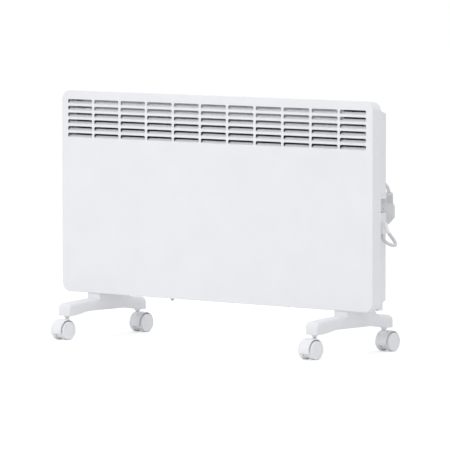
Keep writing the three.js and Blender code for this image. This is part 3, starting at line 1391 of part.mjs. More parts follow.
piece('hank_tie', hankTie(), darkPlastic);
piece('plug_body', plugBody(), plugPlastic, plugFrame);
piece('plug_pin_left', plugPin(-1), nickelBrass, plugFrame);
piece('plug_pin_right', plugPin(1), nickelBrass, plugFrame);
piece('rating_plate', ratingPlate(), aluminium);

// ---------------------------------------------------------------- cord lengths, printed when built

const LEAST_ALONG = 40; // points this far apart along the hank count as different strands

function curveLength(points) {
  return new THREE.CatmullRomCurve3(points.map((p) => new THREE.Vector3(...p))).getLength();
}

function hankLeastGap() {
  const curve = new THREE.CatmullRomCurve3(hankRoute.map((p) => new THREE.Vector3(...p)));
  const count = 700;
  const apart = Math.ceil((LEAST_ALONG / curve.getLength()) * count);
  const points = curve.getSpacedPoints(count);
  let least = Infinity;
  for (let i = 0; i < points.length; i += 1) {
    for (let j = i + apart; j < points.length; j += 1) {
      least = Math.min(least, points[i].distanceTo(points[j]));
    }
  }
  return least - 2 * CORD_RADIUS;
}

const cordLength = curveLength(loopRoute) + curveLength(hankRoute) + curveLength(leadRoute);
console.error(`hank least gap ${hankLeastGap().toFixed(2)} mm, cord length ${cordLength.toFixed(0)} mm`);

export default heater;
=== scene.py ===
"""Wall panel convector heater on castor feet: the looks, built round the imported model."""

import math
from functools import partial

import bmesh
import bpy
from mathutils import Matrix, Vector


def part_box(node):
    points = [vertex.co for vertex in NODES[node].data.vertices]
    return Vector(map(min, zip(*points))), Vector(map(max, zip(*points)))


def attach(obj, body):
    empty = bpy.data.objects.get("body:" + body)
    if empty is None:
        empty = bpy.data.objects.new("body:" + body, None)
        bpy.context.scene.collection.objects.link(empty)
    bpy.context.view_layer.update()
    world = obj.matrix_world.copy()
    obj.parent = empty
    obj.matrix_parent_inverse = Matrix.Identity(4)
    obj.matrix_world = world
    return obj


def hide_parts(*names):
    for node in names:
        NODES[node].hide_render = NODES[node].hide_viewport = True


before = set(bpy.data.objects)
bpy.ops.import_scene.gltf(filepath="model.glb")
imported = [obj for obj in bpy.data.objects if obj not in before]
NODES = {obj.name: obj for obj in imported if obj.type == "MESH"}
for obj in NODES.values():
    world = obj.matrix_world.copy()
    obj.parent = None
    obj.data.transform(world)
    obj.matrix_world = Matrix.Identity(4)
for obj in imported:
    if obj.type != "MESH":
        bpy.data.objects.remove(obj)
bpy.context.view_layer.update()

# ---------------- camera

# A long lens from the front right, a little above the middle, as in the photograph.
CAMERA_PLACE = (7.1927, -8.3455, 1.0283)
CAMERA_TARGET = (0.0044, 0.0, 0.2631)
CAMERA_LENS_MM = 404.8
SENSOR_MM = 36.0


def new_object(name, data):
    """An object of that data, in the scene."""
    obj = bpy.data.objects.new(name, data)
    bpy.context.scene.collection.objects.link(obj)
    return obj


def aim(obj, place, target):
    """Puts a camera or a lamp in its place and turns it to its target."""
    obj.location = place
    obj.rotation_euler = (Vector(target) - Vector(place)).to_track_quat("-Z", "Y").to_euler()


def add_camera():
    """The camera of the photograph."""
    data = bpy.data.cameras.new("photo_camera")
    data.lens = CAMERA_LENS_MM
    data.sensor_width = SENSOR_MM
    data.clip_end = 100.0
    camera = new_object("photo_camera", data)
    aim(camera, CAMERA_PLACE, CAMERA_TARGET)
    bpy.context.scene.camera = camera


add_camera()

# ---------------- sizes of the model

MM = 0.001  # everything is in metres, but for lists and values that say mm
PANEL_FRONT_Y = -34 * MM  # front of the panel
COVER_BACK_Y = 46 * MM  # back of the rear cover
CASING_BOTTOM_Z = 97 * MM
CASING_TOP_Z = 547 * MM
SIDE_ANGLE = math.atan2(13, 50)  # slant of the rear cover's sides
TOP_ANGLE = math.atan2(13.5, 50)  # slant of its top
SIDE_MIDDLE_X = 424.5 * MM  # middle of the rear cover's right side
SIDE_MIDDLE_Y = 21 * MM


def behind(points):
    """Points given in mm as X, depth behind the panel's front and Z, in metres."""
    return [Vector((x * MM, PANEL_FRONT_Y + depth * MM, z * MM)) for x, depth, z in points]


# ---------------- the mains cord's route

CORD_RADIUS = 3.8 * MM
CORD_SPACING = 2.5 * MM  # between the points of the modelled cord
STRAIGHT_END = 2 * CORD_RADIUS  # the cord runs straight this far where it leaves a piece

# The rear cover's slanted side: X off it, Y along it to the back.
SIDE_FRAME = Matrix.Translation((SIDE_MIDDLE_X, SIDE_MIDDLE_Y, 0)) @ Matrix.Rotation(SIDE_ANGLE, 4, "Z")


def beside_cover(points):
    """Points given in mm off the rear cover's side, along it to the back and in Z, in metres."""
    return [SIDE_FRAME @ Vector((out * MM, along * MM, z * MM)) for out, along, z in points]


# The strain relief's tip, and a point beyond it that gives the cord's heading there.
RELIEF_TIP, AFTER_TIP = beside_cover([(12.8, 8.3, 266.6), (11.3, 15.0, 263.7)])
TIP_HEADING = (AFTER_TIP - RELIEF_TIP).normalized()

HANK_X = 283 * MM
HANK_Z = 387 * MM
HANK_RUN = 114 * MM  # length of the straight runs
HANK_LOOPS = 3
HANK_STEPS = 24  # points in each loop
HANK_STEP = 8.5 * MM  # from one loop to the next, sideways
HANK_LAYER_STEP = 8.5 * MM  # from the first layer to the second
HANK_FOLD_RADIUS = 24 * MM
HANK_WAIST = 7 * MM  # how far the tie draws each run in
HANK_LEAD = 8 * MM  # how far its two ends stand off the first and the last run
HANK_FIRST_Y = COVER_BACK_Y + 6 * MM
TURN_BACK = 1.625  # loops wound inwards before the winding goes out again in a second layer
LAYER_CHANGE = 0.25  # share of a loop over which the cord climbs onto that layer

PLUG_PLACE = behind([(400, 102.7, 0)])[0]
PLUG_TURN = math.radians(40.74)
PLUG_TOP_Z = 347.5 * MM
PLUG_CORD_OFFSET = 6.6 * MM
LEAD_TILT = math.radians(20)  # the cord leans this much where it enters the plug
LEAD_STRAIGHT = STRAIGHT_END + 1.6 * MM
CLIP_Z = 378.2  # in mm, as the route's points


def smooth_step(value):
    """0 below 0, 1 above 1 and a smooth rise between them."""
    clamped = min(max(value, 0.0), 1.0)
    return clamped * clamped * (3 - 2 * clamped)


def hank_radius(loops):
    """Radius of the folds after so many loops: inwards at first, then out again."""
    return HANK_FOLD_RADIUS + HANK_STEP * abs(loops - TURN_BACK)


def hank_point(loops):
    """Up the right run, over, down the left run and under, drawn in at the tie."""
    part = loops - math.floor(loops)
    radius = hank_radius(loops)
    climbed = (loops - TURN_BACK) / LAYER_CHANGE + 0.5
    y = HANK_FIRST_Y + HANK_LAYER_STEP * smooth_step(climbed)
    rising = part < 0.25
    if rising or 0.5 <= part < 0.75:
        along = (part if rising else part - 0.5) * 4
        drawn = radius - HANK_WAIST * math.sin(math.pi * along) ** 2
        z = HANK_Z + (along - 0.5 if rising else 0.5 - along) * HANK_RUN
        return Vector((HANK_X + (drawn if rising else -drawn), y, z))
    turned = (part - 0.25 if part < 0.5 else part - 0.5) * 4 * math.pi
    middle = HANK_Z + (HANK_RUN / 2 if part < 0.5 else -HANK_RUN / 2)
    return Vector((HANK_X + radius * math.cos(turned), y, middle + radius * math.sin(turned)))


def cord_points():
    """The whole route: relief, visible loop, behind the cover, hank, clip and plug."""
    low = HANK_Z - HANK_RUN / 2
    start = Vector((HANK_X + hank_radius(0), HANK_FIRST_Y, low - HANK_LEAD))
    end = Vector((HANK_X + hank_radius(HANK_LOOPS), HANK_FIRST_Y + HANK_LAYER_STEP, low + HANK_LEAD))
    loop = beside_cover([
        (11.8, 20.1, 259.6), (13.7, 23.4, 255.4), (16.6, 24.9, 251), (20.1, 24.6, 246.9),
        (23.3, 22.4, 243.2), (25.9, 18.9, 240.4), (27.5, 14.4, 238.5), (27.9, 9.3, 237.6),
        (27, 4.3, 237.8), (24.8, -0.3, 238.9), (21.5, -3.8, 240.8), (17.6, -6, 243.3),
        (13.3, -6.6, 246.4), (9.5, -5.5, 250.2), (6.7, -3.3, 255.1),
    ])
    led = behind([
        (430.1, 54.8, 264), (427.9, 55.7, 275.5),
        (421.6, 58.2, 285.2), (412.2, 61.8, 291.7), (401, 66.1, 294), (380, 73.8, 291.3),
        (366, 79.2, 287.2), (352, 84, 283.9), (339.8, 86, 286), (329.7, 86, 292.5), (323.1, 86, 302.3),
    ])
    hank = [hank_point(i / HANK_STEPS) for i in range(HANK_LOOPS * HANK_STEPS + 1)]
    lead = behind([
        (321, 95.7, 357), (326.5, 97.1, 366.5), (335, 99.2, 373.6), (346, 101.9, 377.4),
        (354, 103.5, CLIP_Z), (359, 104, CLIP_Z), (365, 104, CLIP_Z), (373.4, 104.6, 377.1),
        (382, 105.4, 373.6), (390, 106.2, 368.7), (396.5, 106.8, 362.7),
    ])
    turn = Matrix.Rotation(PLUG_TURN, 3, "Z")
    entry = PLUG_PLACE + turn @ Vector((PLUG_CORD_OFFSET, 0, PLUG_TOP_Z))
    leaning = Vector((-math.sin(LEAD_TILT), 0, math.cos(LEAD_TILT)))
    up = Vector((0, 0, STRAIGHT_END))
    return [
        RELIEF_TIP, RELIEF_TIP + TIP_HEADING * STRAIGHT_END, *loop, *led, start - up, start, *hank,
        end, end + up, *lead, entry + leaning * LEAD_STRAIGHT, entry,
    ]


def between(a, b, first, last, t):
    """The point on the line that has a at the first value of t and b at the last."""
    return a * ((last - t) / (last - first)) + b * ((t - first) / (last - first))


def catmull_rom(points, spacing):
    """Points of a centripetal Catmull-Rom curve through the given ones, about evenly spaced."""
    ends = [2 * points[0] - points[1]] + list(points) + [2 * points[-1] - points[-2]]
    result = []
    for i in range(1, len(ends) - 2):
        p0, p1, p2, p3 = ends[i - 1 : i + 3]
        t1 = (p1 - p0).length ** 0.5
        t2 = t1 + max((p2 - p1).length, 1e-7) ** 0.5
        t3 = t2 + max((p3 - p2).length, 1e-7) ** 0.5
        count = max(1, round((p2 - p1).length / spacing))
        for k in range(count):
            t = t1 + (t2 - t1) * k / count
            middle = between(p1, p2, t1, t2, t)
            first = between(between(p0, p1, 0, t1, t), middle, 0, t2, t)
            last = between(middle, between(p2, p3, t2, t3, t), t1, t3, t)
            result.append(between(first, last, t1, t2, t))
    result.append(ends[-2].copy())
    return result


def polyline_length(points):
    """Length of the straight lines from point to point."""
    return sum((b - a).length for a, b in zip(points, points[1:]))


def add_round_curve(name, points, radius):
    """A round cord along the points, as a curve of one open spline."""
    data = bpy.data.curves.new(name, "CURVE")
    data.dimensions = "3D"
    data.bevel_depth = radius
    data.bevel_resolution = 6
    data.use_fill_caps = True
    spline = data.splines.new("POLY")
    spline.points.add(len(points) - 1)
    for place, point in zip(spline.points, points):
        place.co = (*point, 1.0)
    spline.use_smooth = True
    return new_object(name, data)


# ---------------- materials


def linear(code):
    """An sRGB colour such as "ebecf0" as linear red, green, blue and alpha."""
    channels = [int(code[i : i + 2], 16) / 255 for i in (0, 2, 4)]
    return [c / 12.92 if c <= 0.04045 else ((c + 0.055) / 1.055) ** 2.4 for c in channels] + [1.0]


def add_node(tree, kind, settings=None, inputs=None):
    """A shader node with its settings, its socket values and the sockets linked into it."""
    node = tree.nodes.new(kind)
    for name, value in (settings or {}).items():
        setattr(node, name, value)
    for socket, value in (inputs or {}).items():
        if isinstance(value, bpy.types.NodeSocket):
            tree.links.new(value, node.inputs[socket])
        else:
            node.inputs[socket].default_value = value
    return node


def tint(tree, shader, where, light, dark, patch_mm, detail=2.0):
    """Colour that drifts a little between two near tones over patches of that size."""
    noise = {"Vector": where, "Scale": 1000 / patch_mm, "Detail": detail}
    patches = add_node(tree, "ShaderNodeTexNoise", inputs=noise)
    colours = add_node(tree, "ShaderNodeValToRGB", inputs={"Fac": patches.outputs["Fac"]})
    colours.color_ramp.elements[0].position = 0.3
    colours.color_ramp.elements[0].color = linear(dark)
    colours.color_ramp.elements[1].position = 0.7
    colours.color_ramp.elements[1].color = linear(light)
    tree.links.new(colours.outputs["Color"], shader.inputs["Base Color"])


def grain(tree, shader, where, grain_mm, depth_mm, rough_low, rough_high):
    """A raised grain of that size, which also spreads the roughness."""
    noise = {"Vector": where, "Scale": 1000 / grain_mm, "Detail": 3.0}
    height = add_node(tree, "ShaderNodeTexNoise", inputs=noise).outputs["Fac"]
    relief = {"Strength": 1.0, "Distance": depth_mm * MM, "Height": height}
    raised = add_node(tree, "ShaderNodeBump", inputs=relief)
    limits = {"Value": height, "To Min": rough_low, "To Max": rough_high}
    spread = add_node(tree, "ShaderNodeMapRange", inputs=limits)
    tree.links.new(raised.outputs["Normal"], shader.inputs["Normal"])
    tree.links.new(spread.outputs["Result"], shader.inputs["Roughness"])


def surface(name, light, dark, patch_mm, grain_mm, depth_mm, rough, detail=2.0, drawn=False, sockets=None):
    """A material of two near tones with a raised grain; drawn stretches the grain along X.

    Rough is the shader's own roughness, and the least and the most that the grain gives it;
    sockets holds the shader's other values.
    """
    material = bpy.data.materials.new(name)
    material.use_nodes = True
    tree = material.node_tree
    shader = tree.nodes["Principled BSDF"]
    for socket, value in {"Roughness": rough[0], "Metallic": 0.0, "IOR": 1.5, **(sockets or {})}.items():
        shader.inputs[socket].default_value = value
    where = add_node(tree, "ShaderNodeTexCoord").outputs["Object"]
    tint(tree, shader, where, light, dark, patch_mm, detail)
    if drawn:
        stretch = {"Vector": where, "Scale": (0.03, 1.0, 1.0)}
        where = add_node(tree, "ShaderNodeMapping", inputs=stretch).outputs["Vector"]
    grain(tree, shader, where, grain_mm, depth_mm, *rough[1:])
    return material


# Polyester powder coat on sheet steel: a faint orange peel and a satin sheen. The peel is about
# 1 mm from crest to crest; drawn at 1.6 mm so that it shows.
powder_coated_steel = partial(surface, patch_mm=90, grain_mm=1.6, depth_mm=0.02, rough=(0.42, 0.36, 0.5))
PAINT_FRONT = powder_coated_steel("powder_coat_front", "f0f1f5", "edeef2")
PAINT_COVER = powder_coated_steel("powder_coat_cover", "ecedf1", "e9eaee")

# ABS from a spark-eroded mould: an even fine grain that takes the shine off. The mould's grain is
# about 0.2 mm; drawn at 0.5 mm.
moulded_abs = partial(
    surface, patch_mm=40, grain_mm=0.5, depth_mm=0.03, rough=(0.5, 0.42, 0.58), sockets={"IOR": 1.54}
)
ABS_FOOT = moulded_abs("abs_foot", "eeeff3", "ebecf0")
ABS_HOUSING = moulded_abs("abs_housing", "ebecef", "e8e9ec")
# The cord guide is the housing's ABS painted a shade lighter: painted light that lifts the shade falling on
# it between the casing and the rear cover.
ABS_GUIDE_PAINTED_LIGHT = moulded_abs("abs_guide", "f5f6f8", "f2f3f5")
ABS_GREY = moulded_abs("abs_control_grey", "c6c8ca", "c1c3c5")

# Smooth white nylon: a soft sheen, with light going a little way in.
DEPTH = {"Subsurface Weight": 0.06, "Subsurface Radius": (1.0, 1.0, 1.0), "Subsurface Scale": 1.5 * MM}
NYLON_CASTOR = surface(
    "nylon_castor", "f2f3f6", "eeeff3", patch_mm=25, grain_mm=2.5, depth_mm=0.015,
    rough=(0.32, 0.27, 0.38), sockets={"IOR": 1.53, **DEPTH},
)

# Plasticised PVC: smooth and slightly waxy, with a broad dull highlight.
WAXY = {"IOR": 1.52, "Specular IOR Level": 0.3}
soft_pvc = partial(
    surface, patch_mm=15, grain_mm=1.2, depth_mm=0.03, rough=(0.5, 0.44, 0.58), sockets=WAXY
)
PVC_PLUG = soft_pvc("pvc_plug", "e3e4e7", "dfe0e3")
PVC_CORD = soft_pvc("pvc_cord_sheath", "e0e1e4", "dcdde0", sockets={**WAXY, "Specular IOR Level": 0.2})
TPE_RELIEF = soft_pvc("tpe_strain_relief", "fafafc", "f7f7f9", rough=(0.4, 0.34, 0.48))
WIRE_BROWN = soft_pvc("pvc_wire_brown", "7a543b", "6a4630")
WIRE_BLUE = soft_pvc("pvc_wire_blue", "3f74b3", "36669f")

METAL = {"Metallic": 1.0}
# Bright zinc on rolled steel sheet: cool grey with soft clouds in the shine.
ZINC = surface(
    "zinc_plated_steel", "b9bcc0", "a3a6aa", patch_mm=12, detail=4.0, grain_mm=3.0, depth_mm=0.02,
    rough=(0.35, 0.26, 0.46), sockets=METAL,
)
# Zinc with a dull blue passivation on turned steel: a light, soft grey.
ZINC_DULL = surface(
    "passivated_zinc", "e2e3e6", "d8dadd", patch_mm=8, detail=4.0, grain_mm=1.5, depth_mm=0.01,
    rough=(0.55, 0.45, 0.58), sockets={"Metallic": 0.15},
)
# Extruded aluminium: fine die lines along its length, about 0.3 mm apart; drawn at 0.8 mm.
ALUMINIUM = surface(
    "drawn_aluminium", "cdcfd2", "b4b6b9", patch_mm=30, grain_mm=0.8, depth_mm=0.02,
    rough=(0.4, 0.3, 0.5), drawn=True, sockets=METAL,
)
# Turned brass with bright nickel: warm grey, clean and shiny.
NICKEL = surface(
    "nickel_plated_brass", "cbc8bf", "bdb9ae", patch_mm=6, grain_mm=0.6, depth_mm=0.006,
    rough=(0.2, 0.14, 0.28), sockets=METAL,
)
# Dark glass-filled nylon of switch and terminal bodies: dull, faintly speckled.
NYLON_DARK = surface(
    "glass_filled_nylon", "46474a", "37383a", patch_mm=1.5, detail=5.0, grain_mm=0.7, depth_mm=0.04,
    rough=(0.6, 0.52, 0.72), sockets={"IOR": 1.53},
)
# Pad-printed ink of the switch's and the dial's marks: flat and a little rough.
INK_GREY = surface(
    "ink_grey", "9b9da0", "9b9da0", patch_mm=3, grain_mm=0.4, depth_mm=0.01, rough=(0.6, 0.55, 0.7)
)

# ---------------- mesh helpers

MAIN = "heater_body"  # the body that all but the moving pieces ride on


def mesh_from(name, points, faces):
    """A mesh of points and faces, with points that meet joined and normals outward."""
    mesh = bpy.data.meshes.new(name)
    mesh.from_pydata([tuple(p) for p in points], [], faces)
    solid = bmesh.new()
    solid.from_mesh(mesh)
    bmesh.ops.remove_doubles(solid, verts=solid.verts, dist=1e-7)
    bmesh.ops.recalc_face_normals(solid, faces=solid.faces)
    solid.to_mesh(mesh)
    solid.free()
    return mesh


def loft_mesh(name, rings):
    """A closed skin over rings of as many points each."""
    count = len(rings[0])
    points = [p for ring in rings for p in ring]
    faces = []
    for r in range(len(rings) - 1):
        for i in range(count):
            a = r * count + i
            b = r * count + (i + 1) % count
            faces.append((a, b, b + count, a + count))
    last = (len(rings) - 1) * count
    faces.append(tuple(reversed(range(count))))
    faces.append(tuple(range(last, last + count)))
    return mesh_from(name, points, faces)


def joined_mesh(name, meshes):
    """One mesh that holds copies of several."""
    solid = bmesh.new()
    for mesh in meshes:
        solid.from_mesh(mesh)
    whole = bpy.data.meshes.new(name)
    solid.to_mesh(whole)
    solid.free()
    return whole


def turned_mesh(name, profile, segments, place=Matrix()):
    """A profile of radius and height turned about Z, then put in its place."""
    rings = []
    angles = [2 * math.pi * i / segments for i in range(segments)]
    for radius, height in profile:
        reach = max(radius, 1e-6)  # a tiny ring on the axis, so that every ring has its points
        rings.append([place @ Vector((reach * math.cos(a), reach * math.sin(a), height)) for a in angles])
    return loft_mesh(name, rings)


ALONG_X = Matrix.Rotation(math.pi / 2, 4, "Y")  # lays what stands along Z along X
# An outline drawn in two of the axes, with its thickness along the third.
YZ_OUTLINE = Matrix(((0, 0, 1, 0), (1, 0, 0, 0), (0, 1, 0, 0), (0, 0, 0, 1)))
XZ_OUTLINE = Matrix(((1, 0, 0, 0), (0, 0, 1, 0), (0, 1, 0, 0), (0, 0, 0, 1)))


def slab_mesh(name, outline, low, high, place=Matrix()):
    """An outline of two coordinates given thickness along the third axis."""
    rings = [[place @ Vector((u, v, w)) for u, v in outline] for w in (low, high)]
    return loft_mesh(name, rings)


def box_mesh(name, low, high, place=Matrix()):
    """A box between its lowest and highest corner."""
    outline = [(low[0], low[1]), (high[0], low[1]), (high[0], high[1]), (low[0], high[1])]
    return slab_mesh(name, outline, low[2], high[2], place)


def in_metres(outline):
    """An outline or a profile given in mm, in metres."""
    return [(u * MM, v * MM) for u, v in outline]


def arc(radius, first, last, steps, middle=(0.0, 0.0)):
    """Points of an arc about the middle, from the first angle to the last."""
    angles = [first + (last - first) * i / steps for i in range(steps + 1)]
    return [(middle[0] + radius * math.cos(a), middle[1] + radius * math.sin(a)) for a in angles]


def rounded_outline(half_u, half_v, radius, steps, middle=(0.0, 0.0)):
    """A rectangle with round corners, each of so many steps."""
    outline = []
    for corner in range(4):
        u = middle[0] + (half_u - radius) * (1 if corner in (0, 3) else -1)
        v = middle[1] + (half_v - radius) * (1 if corner < 2 else -1)
        outline += arc(radius, corner * math.pi / 2, (corner + 1) * math.pi / 2, steps, (u, v))
    return outline


def soften(obj, width_mm, segments=2, angle=30.0):
    """Rounds the edges over a given angle, as pressing and moulding leave them."""
    bevel = obj.modifiers.new("rounded_edges", "BEVEL")
    bevel.width = width_mm * MM
    bevel.segments = segments
    bevel.limit_method = "ANGLE"
    bevel.angle_limit = math.radians(angle)
    bevel.harden_normals = True


def carved(mesh, tools, name):
    """The mesh with the tools' solids taken out of it."""
    target = new_object(name + "_blank", mesh)
    tool = new_object(name + "_tool", joined_mesh(name + "_tool", tools))
    cutter = target.modifiers.new("cut", "BOOLEAN")
    cutter.operation = "DIFFERENCE"
    cutter.solver = "EXACT"
    cutter.object = tool
    bpy.context.view_layer.update()
    evaluated = target.evaluated_get(bpy.context.evaluated_depsgraph_get())
    result = bpy.data.meshes.new_from_object(evaluated)
    result.name = name
    bpy.data.objects.remove(target)
    bpy.data.objects.remove(tool)
    return result


def place_piece(obj, material, slot, body, *nodes):
    """Gives a piece its material and body, and lets it stand for its nodes; the slot is not used."""
    obj.data.materials.clear()
    obj.data.materials.append(material)
    if nodes:
        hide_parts(*nodes)
    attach(obj, body)


def add_piece(name, mesh, material, slot, body, *nodes, smooth=30.0, place=Matrix()):
    """A piece of that mesh in its place, smooth but for edges sharper than so many degrees."""
    mesh.shade_smooth()
    mesh.set_sharp_from_angle(angle=math.radians(smooth))
    mesh.transform(place)
    obj = new_object(name, mesh)
    place_piece(obj, material, slot, body, *nodes)
    return obj


def dress(node, material, width_mm=0.0, segments=2):
    """A node whose shape is right keeps it, with its material and rounded edges."""
    obj = NODES[node]
    obj.data.materials.clear()
    obj.data.materials.append(material)
    if width_mm:
        soften(obj, width_mm, segments)


# ---------------- front casing

CASING_MIDDLE_Z = (CASING_BOTTOM_Z + CASING_TOP_Z) / 2
CASING_HALF_X = 447 * MM
CASING_HALF_Z = (CASING_TOP_Z - CASING_BOTTOM_Z) / 2
CASING_CORNER = 22 * MM
CASING_DEPTH = 30 * MM
CASING_TAPER = 2.4 * MM  # how far the sides are drawn in at the back
EDGE_RADIUS = 2 * MM
SHEET = 0.9 * MM  # thickness of the steel
LOUVRE_COLUMNS = 11
LOUVRE_ROWS = 6
LOUVRE_PITCH_X = 78.4 * MM
LOUVRE_PITCH_Z = 15 * MM
LOUVRE_HALF_X = 36 * MM
LOUVRE_HALF_Z = 4.8 * MM
LOUVRE_CORNER = 3.2 * MM
FIRST_LOUVRE_Z = CASING_TOP_Z - 24.8 * MM


def casing_ring(inset, depth):
    """Outline of the casing, that far in from its edge and behind its front."""
    radius = max(CASING_CORNER - inset, 1 * MM)
    outline = rounded_outline(CASING_HALF_X - inset, CASING_HALF_Z - inset, radius, steps=14)
    return [Vector((x, PANEL_FRONT_Y + depth, CASING_MIDDLE_Z + z)) for x, z in outline]


def casing_shell():
    """The pressed tray of the front: flat panel, small front radius, sides drawn in to the back."""
    rings = []
    for i in range(6):
        angle = math.pi / 2 * i / 5
        rings.append(casing_ring(EDGE_RADIUS * (1 - math.sin(angle)), EDGE_RADIUS * (1 - math.cos(angle))))
    rings.append(casing_ring(CASING_TAPER, CASING_DEPTH))
    rings.append(casing_ring(CASING_TAPER + SHEET, CASING_DEPTH))
    rings.append(casing_ring(SHEET + 0.1 * MM, EDGE_RADIUS))
    rings.append(casing_ring(EDGE_RADIUS, SHEET))
    return loft_mesh("casing_shell", rings)


def louvre_places():
    """Middle of each louvre, row by row from the top."""
    for row in range(LOUVRE_ROWS):
        for column in range(LOUVRE_COLUMNS):
            x = (column - (LOUVRE_COLUMNS - 1) / 2) * LOUVRE_PITCH_X
            yield x, FIRST_LOUVRE_Z - row * LOUVRE_PITCH_Z


def louvre_window(x, z):
    """Rounded slot, a little wider at the front, where the sheet's edge is rolled in."""
    rings = []
    for depth_mm, wider_mm in ((-1.0, 0.45), (0.0, 0.45), (0.12, 0.2), (0.4, 0.0), (2.0, 0.0)):
        sizes = [size + wider_mm * MM for size in (LOUVRE_HALF_X, LOUVRE_HALF_Z, LOUVRE_CORNER)]
        outline = rounded_outline(*sizes, steps=4, middle=(x, z))
        rings.append([Vector((u, PANEL_FRONT_Y + depth_mm * MM, v)) for u, v in outline])
    return loft_mesh("window", rings)


# Section of a blade in mm: depth behind the panel's front and height over the slot's lower edge.
BLADE_PROFILE = (
    (0.05, 0.0), (0.5, 0.12), (1.2, 0.5), (2.4, 1.35), (4.6, 3.1), (6.6, 4.7), (7.3, 5.35),
    (7.5, 5.2), (7.45, 4.75), (6.9, 4.05), (4.9, 2.3), (2.7, 0.55), (1.4, -0.35), (0.6, -0.8), (0.05, -0.75),
)


def louvre_blade(x, z):
    """Blade pressed in from the slot's lower edge, curving up behind it, with rounded ends."""
    foot = z - LOUVRE_HALF_Z
    half = LOUVRE_HALF_X + 0.4 * MM
    # Distance from the blade's end in mm, and the share of the section's full size there.
    ends = [(0.0, 0.78), (0.9, 0.95), (2.0, 0.99), (3.4, 1.0)]
    stations = [(inset * MM - half, reach) for inset, reach in ends]
    stations += [(half - inset * MM, reach) for inset, reach in reversed(ends)]
    rings = []
    for along, reach in stations:
        ring = [
            Vector((x + along, PANEL_FRONT_Y + depth * reach * MM, foot + rise * reach * MM))
            for depth, rise in BLADE_PROFILE
        ]
        rings.append(ring)
    return loft_mesh("blade", rings)


def add_casing():
    """The pressed cover with its louvres' windows cut out, and the blades behind them."""
    windows = [louvre_window(x, z) for x, z in louvre_places()]
    shell = carved(casing_shell(), windows, "casing_panel")
    panel = add_piece("front_casing_shell", shell, PAINT_FRONT, "casing_paint", MAIN, "front_casing")
    flat = panel.modifiers.new("flat_sheet_normals", "WEIGHTED_NORMAL")
    flat.keep_sharp = True
    blades = joined_mesh("louvre_blades", [louvre_blade(x, z) for x, z in louvre_places()])
    add_piece("louvre_blades", blades, PAINT_FRONT, "casing_paint", MAIN, smooth=50)


# ---------------- feet

FOOT_X = 356 * MM
FOOT_HALF_WIDTH = 18.5 * MM
FOOT_HALF_LENGTH = 129 * MM
FOOT_END_RADIUS = 7 * MM  # upright corners of the ends
FOOT_TOP_RADIUS = 8 * MM  # along the upper edges
FOOT_NOSE_RADIUS = 10 * MM  # from the top onto the ends
FOOT_UNDERSIDE_Z = 52 * MM
BEAM_TOP_Z = 85.5 * MM
FOOT_TOP_Z = 96.7 * MM
FOOT_ARCH = 7.4 * MM  # rise of the underside towards the middle
FOOT_ARCH_RUN = 60 * MM  # from the castor's stem to where the arch has its full height
FOOT_END_DROP = 7 * MM  # fall of the top towards the ends
FOOT_LOWER_EDGE = 1.2 * MM  # rounding of the lower edges
STEM_Y = 117 * MM
NECK_FRONT_Y = PANEL_FRONT_Y + 4 * MM
NECK_LENGTH = 91 * MM
NECK_RUN_OUT = 20 * MM  # the hollow curve behind the neck
NECK_ROOT_Z = BEAM_TOP_Z - 6 * MM
RUN_OUT_Z = BEAM_TOP_Z - 3 * MM
RUN_OUT_HEIGHT = FOOT_TOP_Z - RUN_OUT_Z


def foot_ring(y, end):
    """Section of the beam at y, which is that far from the beam's end."""
    short = FOOT_END_RADIUS - min(end, FOOT_END_RADIUS)
    half = FOOT_HALF_WIDTH - (FOOT_END_RADIUS - math.sqrt(FOOT_END_RADIUS**2 - short**2))
    low = FOOT_UNDERSIDE_Z + FOOT_ARCH * smooth_step((STEM_Y - abs(y)) / FOOT_ARCH_RUN)
    tip = 1 - min(end / FOOT_NOSE_RADIUS, 1.0)
    top = BEAM_TOP_Z - FOOT_END_DROP * (abs(y) / FOOT_HALF_LENGTH) ** 2
    top -= FOOT_NOSE_RADIUS * (1 - math.sqrt(1 - tip * tip))
    radius = min(FOOT_TOP_RADIUS, half * 0.95)
    edge = min(FOOT_LOWER_EDGE, half * 0.4)
    ring = [(half - edge, low), (half - edge * 0.3, low + edge * 0.3), (half, low + edge)]
    ring += arc(radius, 0, math.pi / 2, 10, (half - radius, top - radius))
    ring += [(-u, v) for u, v in reversed(ring)]
    return [Vector((u, y, v)) for u, v in ring]


def foot_beam():
    """The arched beam from one castor to the other, with round ends."""
    ends = [0.15, 0.45, 0.9, 1.6, 2.5, 3.6, 5, 7, 8.5, 10]
    rings = [foot_ring(end * MM - FOOT_HALF_LENGTH, end * MM) for end in ends]
    rings += [foot_ring(y * MM, FOOT_NOSE_RADIUS) for y in range(-112, 113, 8)]
    rings += [foot_ring(FOOT_HALF_LENGTH - end * MM, end * MM) for end in reversed(ends)]
    return loft_mesh("foot_beam", rings)


def foot_neck():
    """Raised block under the panel: upright in front, running out in a hollow curve at the back."""
    back = NECK_FRONT_Y + NECK_LENGTH
    outline = [(NECK_FRONT_Y, NECK_ROOT_Z), (back + NECK_RUN_OUT, NECK_ROOT_Z)]
    for i in range(12, -1, -1):
        share = i / 12
        outline.append((back + NECK_RUN_OUT * share, RUN_OUT_Z + RUN_OUT_HEIGHT * (1 - share) ** 2.1))
    outline.append((NECK_FRONT_Y, FOOT_TOP_Z))
    return slab_mesh("foot_neck", outline, -FOOT_HALF_WIDTH, FOOT_HALF_WIDTH, YZ_OUTLINE)


# Radius and height in mm.
COLLAR_PROFILE = (
    (0, 47.4), (5.5, 47.4), (5.8, 47.7), (6.3, 49), (7.4, 51.6), (7.5, 52), (7.5, 54), (0, 54),
)


def castor_collar(y):
    """Tapered collar under the foot, round the top of a castor's stem."""
    return turned_mesh("collar", in_metres(COLLAR_PROFILE), 40, Matrix.Translation((0, y, 0)))


